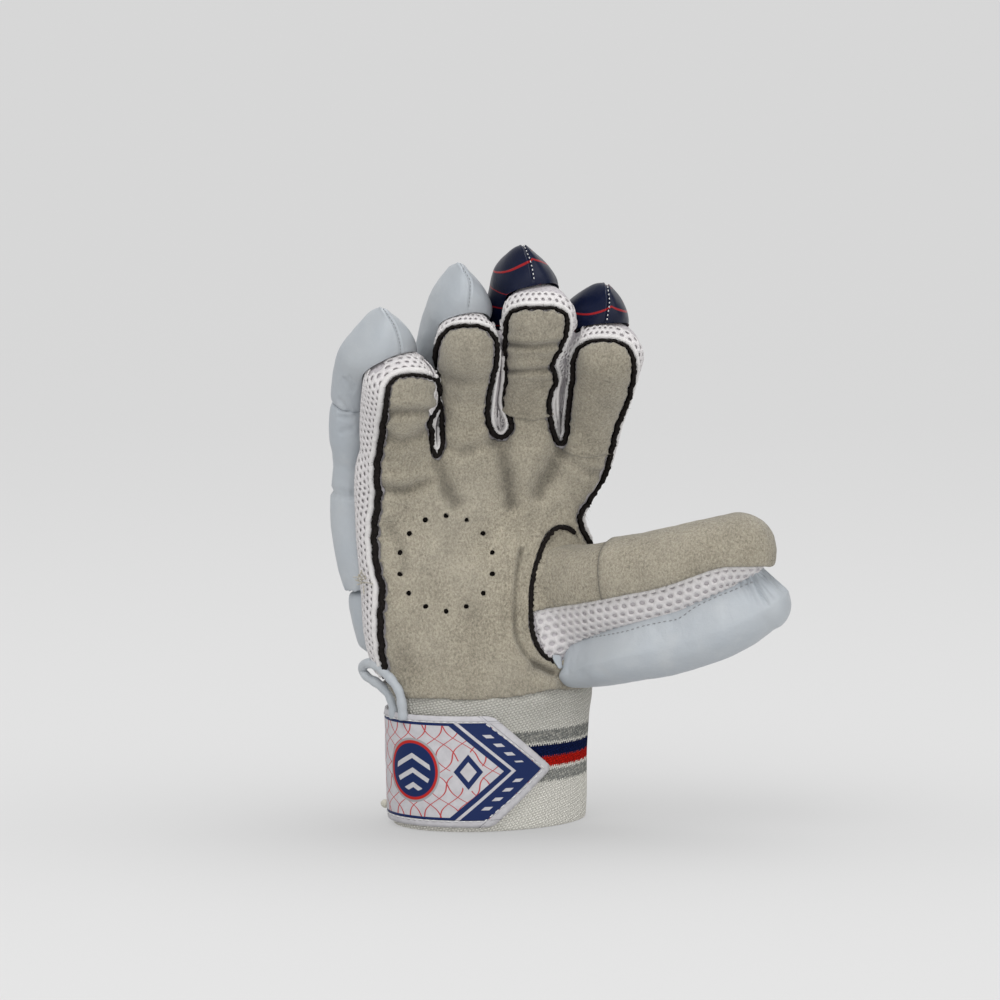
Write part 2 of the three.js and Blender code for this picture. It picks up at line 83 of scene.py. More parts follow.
# Each digit's middle line: x, y, z, half its width and half its depth. The turn, in degrees, swings its
# back towards the little finger. Its hood is the table's below, this much longer and wider.
DIGITS = {
    "little": {
        "turn": 22, "longer": 1.12, "wider": 1.2,
        "path": [
            [-37, -4, 79, 10, 15], [-40.5, -5, 105, 12, 15], [-43, -2.5, 134, 13, 10],
            [-43.8, -8, 157, 14, 12.5], [-45, -14.5, 173, 14.2, 14.5], [-46.4, -25, 188, 14.6, 14],
        ],
    },
    "ring": {
        "turn": 8, "longer": 1.14, "wider": 1.15,
        "path": [
            [-17, -2, 79, 11, 15], [-17, -3, 105, 11.5, 15], [-17, -3, 134, 12, 12.5],
            [-15.8, -9, 159, 12.2, 13.2], [-16, -18, 183, 12.3, 13.5], [-19.7, -33.5, 205, 12.5, 13.5],
        ],
    },
    "middle": {
        "turn": 13, "longer": 0.92, "wider": 1.0,
        "path": [
            [4.5, -1, 79, 11, 15], [5.5, -3.5, 105, 11.5, 15], [8, -5.5, 134, 12, 12],
            [10.6, -12.5, 161, 12, 13], [9.8, -23, 189, 12.3, 13.5], [7.6, -42.5, 216.5, 14.2, 14],
        ],
    },
    "index": {
        "turn": 3, "longer": 0.9, "wider": 1.0,
        "path": [
            [26, -1, 79, 10.5, 15], [26.3, -4, 105, 11, 15], [27.6, -8, 134, 11.2, 10],
            [36.1, -15.5, 158, 11.6, 12.5], [37.2, -28, 180, 12.4, 13.5], [36.2, -45.5, 201, 14.4, 13.5],
        ],
    },
    "thumb": {
        "side": [-0.55, -0.75, -0.15], "longer": 1.0, "wider": 1.0,
        "path": [
            [18, -2, 91, 9, 22.5], [31, -19, 96, 11, 21], [43, -37.5, 102, 12.4, 17.6],
            [60.5, -52, 108, 12.4, 16.4], [75, -62, 114.6, 12, 14.4], [85.4, -68.2, 119.6, 11, 12.4],
        ],
    },
}
FINGERS = ("little", "ring", "middle", "index")

# The rolls behind a digit: where along its path, how far past that, how far behind it, how far aside, half
# the width as a share of the digit's, and half the thickness.
HOOD = [[0.78, 0, 22, 0, 0.8, 8], [0.81, 0, 23, 0, 0.95, 10.5], [0.97, 0, 21, 0, 0.95, 12],
        [1, 6, 16.5, 0, 0.88, 13.5], [1, 14, 13, 0, 0.62, 11.5], [1, 20, 11.5, 0, 0.3, 7.5],
        [1, 24, 10, 0, 0.05, 2.2]]
FINGER_ROLL = [[0.17, 0, 22, 0, 0.8, 6], [0.19, 0, 23.5, 0, 0.96, 9], [0.38, 0, 24, 0, 1, 10.5],
               [0.5, 0, 23, 0, 0.95, 9], [0.64, 0, 23.5, 0, 1, 10.5], [0.765, 0, 23, 0, 0.96, 9.5],
               [0.785, 0, 22, 0, 0.8, 7]]
HAND_PAD = [[0, -6, 22, 0, 0.95, 5], [0, -3, 23, 0, 1.15, 8], [0.06, 0, 23.5, 0, 1.2, 9.5],
            [0.14, 0, 23.5, 0, 1.12, 8], [0.155, 0, 22.5, 0, 0.9, 5]]
THUMB_ROLL = [[0.09, 0, 25.5, 8.5, 0.8, 6.5], [0.12, 0, 25.8, 8, 1.15, 9], [0.25, 0, 26.4, 5, 1.3, 11.2],
              [0.5, 0, 26.6, 2, 1.3, 13.2], [0.75, 0, 25.2, 1, 1.3, 14.4], [1, 0, 22.5, 0, 1.28, 14],
              [1, 5, 22.6, 0, 1.17, 12.8], [1, 8.8, 22.8, 0, 0.96, 10.2], [1, 11.2, 23, 0, 0.6, 6.4],
              [1, 12.2, 23, 0, 0.2, 2.2]]

# The camera looks at this point from this far, this much from the glove's left and from above, in degrees.
CAMERA = {"x": 4.25, "z": 137.1, "distance": 1200.0, "turn": 18.0, "pitch": 5.0, "width": 425.0}

# Lines on the palm's side as the camera sees them: x from the wristband's middle and z above the floor, in
# the plane through its middle. The palm leather's outline runs up the little finger's side and over the
# fingers to the thumb. An arch is a fingertip: its middle, half its width, its rise and how square it is.
PALM_FINGERS = [
    {
        "left": [(-43.8, 62), (-45.9, 75.5), (-46.3, 90), (-45.5, 99.7), (-47.8, 108.2), (-48.9, 124),
                 (-47.2, 139), (-47.8, 149.8), (-46.2, 160.5), (-44.8, 171.1), (-43.8, 177.5)],
        "arch": (-32.6, 180.5, 10.9, 9.4, 0.7),
        "right": [(-21.9, 181), (-22.9, 176.8), (-25.3, 172.4), (-26.2, 170), (-25.4, 166.5), (-25.2, 161)],
        "fork": (-22.8, 155.3),
    },
    {
        "left": [(-20.2, 160), (-19.9, 168), (-20.6, 176.6), (-22.7, 185), (-22.9, 193)],
        "arch": (-9.4, 198.5, 12.4, 12.4, 0.75),
        "right": [(2.0, 194.6), (0.2, 186.5), (-1.2, 178.3), (-1.2, 171.5), (0.4, 166)],
        "fork": (4.6, 163.4),
    },
    {
        "left": [(9.2, 167), (8.6, 172.6), (5.6, 177), (5.2, 180), (6.8, 188), (6.5, 196.3)],
        "arch": (20.2, 207.5, 12.7, 11.0, 0.5),
        "right": [(30.6, 204), (26.2, 194.8), (27.6, 188), (24.8, 180), (25.6, 170), (27.4, 163)],
        "fork": (30.2, 160.4),
    },
    {
        "left": [(32.6, 163.5), (33.4, 170), (34.6, 181), (35.8, 190)],
        "arch": (48.3, 192.5, 12.6, 12.2, 0.75),
        "right": [(60.4, 189.5), (58, 179.6), (53.4, 167.7), (50.1, 154.1), (46.2, 143.5), (40.2, 135),
                  (37.8, 130), (39.3, 123.5), (43.2, 117)],
        "fork": None,
    },
]
THUMB_MOUTH = [(37, 119.5), (37.5, 95), (37, 72), (30, 69.2)]
PALM_THUMB_SIDE = [(45.5, 105.2), (46.8, 88.2), (46.3, 71.2), (46.1, 59.5)]
PALM_WRIST = [(43.6, 58.2), (34, 57.2), (24.7, 55.7), (9.8, 52.9), (-5.5, 51.7), (-22, 52.2), (-35.9, 52.9),
              (-41, 54.5)]

# White bindings round the forks between the fingers.
FORKS = {
    "little_ring": [(-21.6, 176), (-22.6, 173.8), (-23.8, 171.3), (-24.2, 168), (-23.9, 163), (-23.5, 160),
                    (-22.7, 158.3), (-21.9, 160), (-21.6, 164), (-21.8, 168.5)],
    "ring_middle": [(3.6, 201), (3.3, 194), (1.9, 186), (1.0, 178), (0.6, 171.5), (1.8, 167), (4.6, 165.2),
                    (7.2, 167.4), (7.5, 171.2), (5.8, 174.8), (4.0, 178.5), (4.6, 184), (5.4, 190),
                    (5.3, 198)],
    "middle_index": [(29.6, 190), (28.4, 184), (28.2, 179), (28.4, 171), (29.2, 165), (30.2, 163.2),
                     (31.2, 165), (31.6, 171), (32.4, 179), (33.2, 186)],
}

# The edge of the palm leather round the thumb's foot.
THUMB_ARC = [(35, 123.6), (31.8, 125.6), (28.4, 125.4), (25.4, 123), (22.4, 118), (19.6, 110), (17.8, 102),
             (17.2, 93), (17.4, 84), (18.6, 78.4), (21, 73.2), (24.5, 69.4), (28, 67.6)]

# Along the thumb: where its suede meets the net, and where the net meets the roll.
THUMB_SUEDE_LINE = [(12, 87.5), (18.3, 89.1), (29.8, 91.7), (38.2, 92.9), (46.8, 94.6), (55.2, 96.2),
                    (68, 98.6), (76.5, 100.9), (85, 103.9), (93.5, 106.9), (99.9, 108.4), (110.5, 108.6),
                    (119, 109), (126, 109.4)]
THUMB_ROLL_LINE = [(12, 68), (27.6, 76.3), (36.1, 80.2), (51, 82.7), (68, 85.7), (78.6, 88.7), (89.2, 94.4),
                   (99.9, 99.7), (108.4, 103.6), (116.9, 105.2), (121.1, 104.5), (126, 104)]

# Creases and seams in the palm leather: points, depth, half its width.
CREASES = [
    ([(7.5, 203.4), (17, 203), (31, 204.4)], 1.5, 1.2),
    ([(7, 191.9), (17, 192.8), (27, 193.4)], 1.4, 1.1),
    ([(-45, 173.6), (-38, 174.8), (-25.5, 174.9)], 1.3, 1.8),
    ([(-46, 166), (-38.2, 162.8), (-26, 167)], 1.0, 2.4),
    ([(-47, 142.6), (-38.2, 141.6), (-27, 144.5)], 1.4, 2.2),
    ([(-21, 161), (-12, 158), (0, 162)], 0.9, 2.4),
    ([(4, 164), (5, 156), (7, 148), (9, 136)], 1.7, 3.4),
    ([(-22.6, 153), (-20.5, 145), (-15, 136)], 1.5, 3.4),
    ([(29.8, 159), (26, 151), (20, 140)], 1.5, 3.4),
    ([(30, 158), (40, 150), (49, 149)], 0.7, 1.8),
    ([(13, 116), (11, 104), (10.4, 90), (11.4, 78), (17, 68.8), (26, 63.8)], 1.2, 0.9),
    ([(19, 66.5), (28, 62.5), (36, 62), (46, 64)], 1.5, 2.0),
    ([(30, 58), (38, 60), (46, 60.5)], 1.2, 1.6),
    ([(-20, 190), (-10, 188), (1, 190)], 0.5, 2.2),
    ([(-43, 126), (-38, 118), (-37, 108)], 0.6, 2.6),
]
# Second layers on two fingers: a name and the lower edge, from left to right.
OVERLAYS = [
    ("middle", [(3.6, 175.6), (9, 172.6), (14, 171), (19.5, 170.8), (24, 172), (27.2, 174)]),
    ("index", [(30.2, 157.6), (34, 156), (39, 155.2), (44, 155.2), (51.8, 157.4)]),
]
OVERLAY = 0.9

HOLES = {"x": -18.7, "z": 110.3, "half_width": 20.0, "half_height": 20.4, "count": 14, "radius": 0.85}

EDGING = {"width": 1.85, "low": 0.2, "high": 2.45}
NET = {"pitch": 3.1, "hole": (0.8, 0.82), "hem": 2.5, "off": 0.85, "thick": 0.6, "rim": 1.5,
       "side": 19.0, "by_thumb": 8.0}
THUMB_NET = {"pitch": 4.0, "hole": (1.14, 0.96)}
CLOTH_WALL = 1.5
# The rows and columns of points in each of the thumb's two suede pieces.
THUMB_GRID = (120, 90)

# The hoods' front seams as the camera sees them, how far their peaks lean there, to the right and up, and
# how far their middles are moved to the right.
HOOD_SEAMS = {
    "little": [(-45.7, 219.1), (-40.7, 211.5), (-39, 206.9), (-38.1, 202.3), (-38.1, 197)],
    "ring": [(-12.8, 238), (-10.2, 233.6), (-8.4, 230.1), (-8.5, 224.3), (-9.1, 219)],
    "middle": [(13.7, 246), (14.9, 243.5), (16, 240.9), (17.2, 237.1), (18.4, 230.5)],
    "index": [(49.3, 229.7), (49.9, 226.1), (50.4, 221.4), (49.8, 216.7), (49.1, 212.5)],
}
HOOD_LEAN = {"little": (-4.3, 3.9), "ring": (-0.9, 4.6), "middle": (-3.7, 4.0), "index": (-0.9, 3.6)}
HOOD_SHIFT = {"little": 0, "ring": 2.2, "middle": 2.4, "index": 0.4}

# Creases and gathers in the padded pieces, as the camera sees them: points, depth, half the width.
ROLL_CREASES = {
    "little_hood": [
        ([(-58.4, 183.7), (-62, 188.8)], 0.7, 0.8), ([(-57.2, 185.6), (-59.8, 189.8)], 0.5, 0.6),
        ([(-59.8, 175), (-64.1, 179.9)], 0.7, 0.8),
    ],
    "little_roll": [
        ([(-59, 176), (-63.5, 177.5)], 0.7, 0.8), ([(-58.5, 172), (-64, 172.4)], 0.6, 0.8),
        ([(-58.5, 167.5), (-63.5, 166)], 0.6, 0.9), ([(-58, 150), (-65, 152)], 0.5, 1.4),
        ([(-57, 106), (-63, 108)], 0.6, 1.0),
    ],
    "thumb_roll": [
        ([(73.4, 86.8), (73, 81)], 0.9, 0.7), ([(75.3, 87), (75, 80.6)], 1.0, 0.7),
        ([(77.2, 87.2), (79.6, 82.4)], 0.8, 0.7), ([(71.3, 86), (68.6, 81.6)], 0.8, 0.7),
        ([(106.2, 103.8), (107.4, 97.6)], 0.9, 0.7), ([(109.0, 104.8), (109.8, 98.6)], 1.0, 0.7),
        ([(111.8, 105.4), (113.4, 99.6)], 1.0, 0.7),
        ([(114.4, 106.3), (115.8, 97), (116.5, 94.4)], 1.2, 0.8),
        ([(117, 103.4), (120.2, 95.8)], 1.1, 0.8), ([(119.8, 103.6), (123.8, 98.6)], 0.9, 0.8),
    ],
}
# The row of stitches that holds the thumb's roll to the net, and the folded end of the roll's leather.
THUMB_STITCHES = [(30.2, 76.4), (33.8, 77.4), (40.4, 78.2), (47.7, 79.4), (58, 81.4), (64.6, 83.4),
                  (74.1, 85.4), (79.9, 86.6), (87.3, 91.6), (94.6, 95.2), (103.4, 98.8), (112, 102.4)]
THUMB_FOLD = [(25.4, 71.8), (26.2, 68.2), (28.8, 64.6), (30.6, 65.6), (29.8, 71.6)]

# The wristband's woven stripes: lower and upper edge, and colour.
STRIPES = [(19.8, 24.9, "grey"), (26.2, 30.5, "red"), (30.5, 35.5, "navy"), (36.6, 41.6, "grey")]

# How far the knit of the wristband runs up under the palm leather and the net.
GATHER = 7.0

# The strap: lower and upper edge, thickness, the angles of its point, its shoulder and its hidden end, and
# how far it lies off the wristband.
STRAP = {"low": 2.5, "high": 49.5, "thick": 1.8, "point": 66, "shoulder": 101.5, "end": 298, "off": 0.6}

# The piped loop beside the wristband, as the camera sees it: x, z, and how far it is behind the
# wristband's middle.
LOOP = [[-37, 44, -25.5], [-37.4, 50, -26.5], [-38.6, 55.6, -27], [-41.6, 60.4, -26], [-45.4, 64.4, -22],
        [-49.6, 67.2, -16], [-53, 67.4, -10], [-54.2, 65, -7], [-52.4, 62.2, -9], [-48.4, 59.6, -13],
        [-45, 56.9, -16], [-42.6, 53.6, -18], [-41.3, 49.4, -19], [-40.6, 44.5, -19]]

# The woven tab behind the strap, and the loose threads beside the little finger's roll, placed like
# the loop.
TAB = [(-42.5, 7.6, 1), (-44.0, 8.0, 1), (-45.2, 8.2, 1.5), (-46.2, 8.2, 2)]
TUFT = {"x": -54.2, "z": 102.8, "depth": -22}


# Splines and digits

def catmull(rows, share):
    """Points on a smooth line through evenly spaced rows, at shares of its length."""
    rows = np.asarray(rows, float)
    position = np.clip(share, 0, 1) * (len(rows) - 1)
    index = np.minimum(position.astype(int), len(rows) - 2)
    w = (position - index)[:, None]
    padded = np.vstack([2 * rows[0] - rows[1], rows, 2 * rows[-1] - rows[-2]])
    before, start, end, after = (padded[index + k] for k in range(4))
    leave, arrive = (end - before) / 2, (after - start) / 2
    return (
        start
        + leave * w
        + (3 * (end - start) - 2 * leave - arrive) * w**2
        + (2 * (start - end) + leave + arrive) * w**3
    )


def along_line(points):
    """The length of a line up to each of its points."""
    return np.concatenate([[0], np.cumsum(np.linalg.norm(np.diff(points, axis=0), axis=1))])


def at_lengths(wanted, lengths, rows):
    """Rows of numbers between those of a line, at wanted lengths along it."""
    return np.column_stack([np.interp(wanted, lengths, column) for column in rows.T])


def evenly(points, step, closed=False):
    """A line's points made evenly spaced, about this far apart."""
    points = np.asarray(points, float)
    if closed:
        points = np.vstack([points, points[:1]])
    lengths = along_line(points)
    count = max(2, int(round(lengths[-1] / step)))
    spread = at_lengths(np.linspace(0, lengths[-1], count + 1), lengths, points)
    return spread[:-1] if closed else spread


def smooth_line(points, step):
    """An evenly stepped smooth line through unevenly spaced points."""
    points = np.asarray(points, float)
    gaps = np.sqrt(np.linalg.norm(np.diff(points, axis=0), axis=1))
    knots = np.concatenate([[0], np.cumsum(gaps)])
    padded = np.vstack([2 * points[0] - points[1], points, 2 * points[-1] - points[-2]])
    places = np.concatenate([[knots[0] - gaps[0]], knots, [knots[-1] + gaps[-1]]])
    fine = np.linspace(0, knots[-1], 24 * len(points))
    index = np.clip(np.searchsorted(knots, fine, side="right") - 1, 0, len(points) - 2)
    t = fine[:, None]
    p = [padded[index + k] for k in range(4)]
    k = [places[index + j][:, None] for j in range(4)]

    def between(a, b, low, high):
        return ((high - t) * a + (t - low) * b) / (high - low)

    first = [between(p[j], p[j + 1], k[j], k[j + 1]) for j in range(3)]
    second = [between(first[j], first[j + 1], k[j], k[j + 2]) for j in range(2)]
    return evenly(between(second[0], second[1], k[1], k[2]), step)


def unit(vectors):
    return vectors / np.maximum(np.linalg.norm(vectors, axis=-1, keepdims=True), 1e-9)


def digit_frame(name, share):
    """Place, directions and half sizes of a digit at shares of its path."""
    digit = DIGITS[name]
    share = np.clip(np.atleast_1d(np.asarray(share, float)), 0, 1)
    rows = catmull(digit["path"], share)
    step = 1e-4
    along = unit(catmull(digit["path"], share + step)[:, :3] - catmull(digit["path"], share - step)[:, :3])
    turn = math.radians(digit.get("turn", 0))
    wanted = np.array(digit.get("side", [math.cos(turn), math.sin(turn), 0.0]))
    side = unit(wanted - along * (along @ wanted)[:, None])
    return {
        "place": rows[:, :3], "along": along, "side": side, "front": np.cross(side, along),
        "half_width": rows[:, 3], "half_depth": rows[:, 4],
    }


def swell(value, power):
    return np.sign(value) * np.abs(value) ** power


def sections(at, angles, half_width, half_depth, along=0.0, back=0.0, aside=0.0, power=0.85):
    """Rings of points square to a digit, a row for each place along it."""
    def column(value):
        return np.broadcast_to(np.asarray(value, float), (len(at["place"]),))[:, None]

    middle = (
        at["place"] + at["along"] * column(along) - at["front"] * column(back) + at["side"] * column(aside)
    )
    across = column(half_width) * swell(np.cos(angles), power)[None, :]
    deep = column(half_depth) * swell(np.sin(angles), power)[None, :]
    sideways = at["side"][:, None, :] * across[..., None]
    return middle[:, None, :] + sideways + at["front"][:, None, :] * deep[..., None]


def around(count):
    return 2 * math.pi * np.arange(count) / count


def digit_rings(name, start, steps, count, grow=0.0):
    """Rings of a digit's tube with its domed end."""
    shares = np.linspace(start, 1, steps)
    at = digit_frame(name, shares)
    tube = sections(at, around(count), at["half_width"] + grow, at["half_depth"] + grow)
    leans = np.radians(np.array([8, 18, 28, 38, 48, 58, 67, 75, 82, 87.5]))
    tip = digit_frame(name, np.ones(len(leans)))
    half_width, half_depth = ((tip[key] + grow) * np.cos(leans) for key in ("half_width", "half_depth"))
    dome = sections(tip, around(count), half_width, half_depth, along=(TIP_LENGTH + grow) * np.sin(leans))
    return np.concatenate([tube, dome])


def hand_rings(count):
    """Rings of the hand's sleeve, a bowed slab with rounded sides."""
    last = len(HAND_SECTIONS) - 1
    places = np.interp(np.linspace(0, last, 48), np.arange(last + 1), np.arange(last + 1) / last)
    rows = catmull(HAND_SECTIONS, places)
    angles = around(count)
    across = np.cos(angles)[None, :]
    z, left_x, left_y, right_x, right_y, bow, half, power = (rows[:, k][:, None] for k in range(8))
    reach = (right_x - left_x) / 2
    slope = (right_y - left_y) / (right_x - left_x)
    x = (left_x + right_x) / 2 + reach * across
    thick = np.sign(np.sin(angles)) * np.abs(np.sin(angles))[None, :] ** power
    y = (left_y + right_y) / 2 + slope * reach * across + bow * (1 - across**2) - half * thick
    rings = np.stack([x, y, np.broadcast_to(z, x.shape)], axis=-1)
    foot = [rings[0] - np.array([0, 0, drop]) for drop in (10, 6, 3)]
    return np.concatenate([foot, rings])


# Meshes

def grid_faces(rows, columns, wrap=False, caps=False, first=0):
    """Four-sided faces over a grid of points, closed round its columns where it wraps."""
    i, j = np.meshgrid(np.arange(rows - 1), np.arange(columns if wrap else columns - 1), indexing="ij")
    right = (j + 1) % columns
    here, above = i * columns, (i + 1) * columns
    faces = np.stack([here + j, here + right, above + right, above + j], -1)
    faces = (faces.reshape(-1, 4) + first).tolist()
    if caps:
        faces.append([first + k for k in reversed(range(columns))])
        faces.append([first + (rows - 1) * columns + k for k in range(columns)])
    return faces


def grid_uv(u, v, caps=False):
    """Corner coordinates for grid_faces, from grids u and v with one more column where the faces wrap."""
    both = np.stack([u, v], -1)
    corners = np.stack([both[:-1, :-1], both[:-1, 1:], both[1:, 1:], both[1:, :-1]], 2).reshape(-1, 2)
    if caps:
        corners = np.concatenate([corners, both[0, :-1][::-1], both[-1, :-1]])
    return corners


def triangles(faces):
    return np.array([(f[0], f[k], f[k + 1]) for f in faces for k in range(1, len(f) - 1)])


def normals_of(points, tris):
    """Smooth normals at the points of a mesh."""
    a, b, c = (points[tris[:, k]] for k in range(3))
    flat = np.cross(b - a, c - a)
    total = np.zeros_like(points)
    for k in range(3):
        np.add.at(total, tris[:, k], flat)
    return unit(total)


def outward_faces(points, faces, outward):
    """Faces turned so that their normals go the way that outward does."""
    if (normals_of(points, triangles(faces)) * outward).sum() < 0:
        return [face[::-1] for face in faces]
    return faces


def edges_of(tris):
    pairs = np.sort(np.concatenate([tris[:, [0, 1]], tris[:, [1, 2]], tris[:, [2, 0]]]), axis=1)
    return np.unique(pairs, axis=0)


def relax(points, edges, steps, keep=None):
    """Moves each point half way to the middle of its neighbours, a number of times."""
    points = points.copy()
    count = np.zeros(len(points))
    np.add.at(count, edges.ravel(), 1)
    for _ in range(steps):
        total = np.zeros_like(points)
        np.add.at(total, edges[:, 0], points[edges[:, 1]])
        np.add.at(total, edges[:, 1], points[edges[:, 0]])
        moved = points + 0.5 * (total / np.maximum(count, 1)[:, None] - points)
        points = moved if keep is None else np.where(keep[:, None], points, moved)
    return points


def piece(name, points, faces, material, slot, stands_for=(), uv=None, flat=False):
    """A mesh object in the frame, from points in millimetres."""
    mesh = bpy.data.meshes.new(name)
    mesh.from_pydata(((np.asarray(points) + SHIFT) * MM).tolist(), [], faces)
    if uv is not None:
        layer = mesh.uv_layers.new(name="cut")
        layer.data.foreach_set("uv", np.ascontiguousarray(uv, dtype=np.float32).ravel())
    mesh.polygons.foreach_set("use_smooth", [not flat] * len(mesh.polygons))
    mesh.materials.append(material)
    made = bpy.data.objects.new(name, mesh)
    bpy.context.scene.collection.objects.link(made)
    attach(made, "root")
    if stands_for:
        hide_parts(*stands_for)
    return made


def thicken(made, thickness, side=-1.0):
    """Gives a sheet its thickness, below its surface where side is -1."""
    modifier = made.modifiers.new("thickness", "SOLIDIFY")
    modifier.thickness = thickness * MM
    modifier.offset = side
    return made


def apply_modifiers(made):
    """Replaces an object's mesh by the one that its modifiers make."""
    graph = bpy.context.evaluated_depsgraph_get()
    mesh = bpy.data.meshes.new_from_object(made.evaluated_get(graph))
    made.modifiers.clear()
    made.data = mesh
    return made


class Skin:
    """A closed surface that sheets are laid on."""

    def __init__(self, points, faces):
        self.points = points
        self.faces = faces
        self.tris = triangles(faces)
        self.normals = normals_of(points, self.tris)
        self.tree = BVHTree.FromPolygons(points.tolist(), self.tris.tolist())

    def normal_at(self, place, index):
        """The smooth normal inside a face."""
        corners = self.tris[index]
        weights = 1 / (np.linalg.norm(self.points[corners] - place, axis=1) + 1e-3)
        return unit((self.normals[corners] * weights[:, None]).sum(0))

    def nearest(self, point):
        place, _, index, _ = self.tree.find_nearest(Vector(point))
        place = np.array(place)
        return place, self.normal_at(place, index)

    def seen(self, x, z):
        """The surface where the camera sees a point of its picture, or nearest to that line of sight."""
        start, direction = sight(x, z)
        place, _, index, _ = self.tree.ray_cast(Vector(start), Vector(direction))
        if place is not None:
            place = np.array(place)
            return place, self.normal_at(place, index)
        point = start + direction * CAMERA["distance"]
        for _ in range(6):
            place, normal = self.nearest(point)
            point = start + direction * ((place - start) @ direction)
        return place, normal

    def depth(self, point):
        """How far outside the surface a point is."""
        place, _, index, distance = self.tree.find_nearest(Vector(point))
        normal = self.normal_at(np.array(place), index)
        outside = (point - np.array(place)) @ normal
        return math.copysign(distance, outside), np.array(place), normal


def turned(x, y, z):
    """A direction or place seen from the front, in the glove's own directions."""
    turn = math.radians(CAMERA["turn"])
    return np.array([x * math.cos(turn) + y * math.sin(turn), y * math.cos(turn) - x * math.sin(turn), z])


PITCH = math.radians(CAMERA["pitch"])
TARGET = turned(CAMERA["x"], 0, CAMERA["z"])
BACKWARDS = turned(0, -math.cos(PITCH), math.sin(PITCH))
RIGHT = turned(1, 0, 0)
UP = turned(0, math.sin(PITCH), math.cos(PITCH))
EYE = TARGET + BACKWARDS * CAMERA["distance"]


def sight(x, z):
    """The camera's line of sight through a place in its picture."""
    through = TARGET + RIGHT * (x - CAMERA["x"]) + UP * (z - CAMERA["z"])
    return EYE, unit(through - EYE)


def on_sight(x, z, depth):
    """The point that the camera sees at a place of its picture, this far behind the wristband's middle."""
    start, direction = sight(x, z)
    behind = turned(0, 1, 0)
    return start + direction * ((depth - start @ behind) / (direction @ behind))


def remeshed(lofts, voxel, steps):
    """One closed skin round overlapping closed lofts."""
    points, faces, first = [], [], 0
    for rings in lofts:
        rows, columns = rings.shape[:2]
        points.append(rings.reshape(-1, 3))
        faces += grid_faces(rows, columns, wrap=True, caps=True, first=first)
        first += rows * columns
    mesh = bpy.data.meshes.new("rough")
    mesh.from_pydata((np.concatenate(points) * MM).tolist(), [], faces)
    rough = bpy.data.objects.new("rough", mesh)
    bpy.context.scene.collection.objects.link(rough)
    modifier = rough.modifiers.new("one_skin", "REMESH")
    modifier.mode = "VOXEL"
    modifier.voxel_size = voxel * MM
    apply_modifiers(rough)
    made = rough.data
    places = np.zeros(len(made.vertices) * 3)
    made.vertices.foreach_get("co", places)
    places = places.reshape(-1, 3) / MM
    found = [list(polygon.vertices) for polygon in made.polygons]
    bpy.data.objects.remove(rough)
    places = relax(places, edges_of(triangles(found)), steps)
    return Skin(places, found)


# Materials

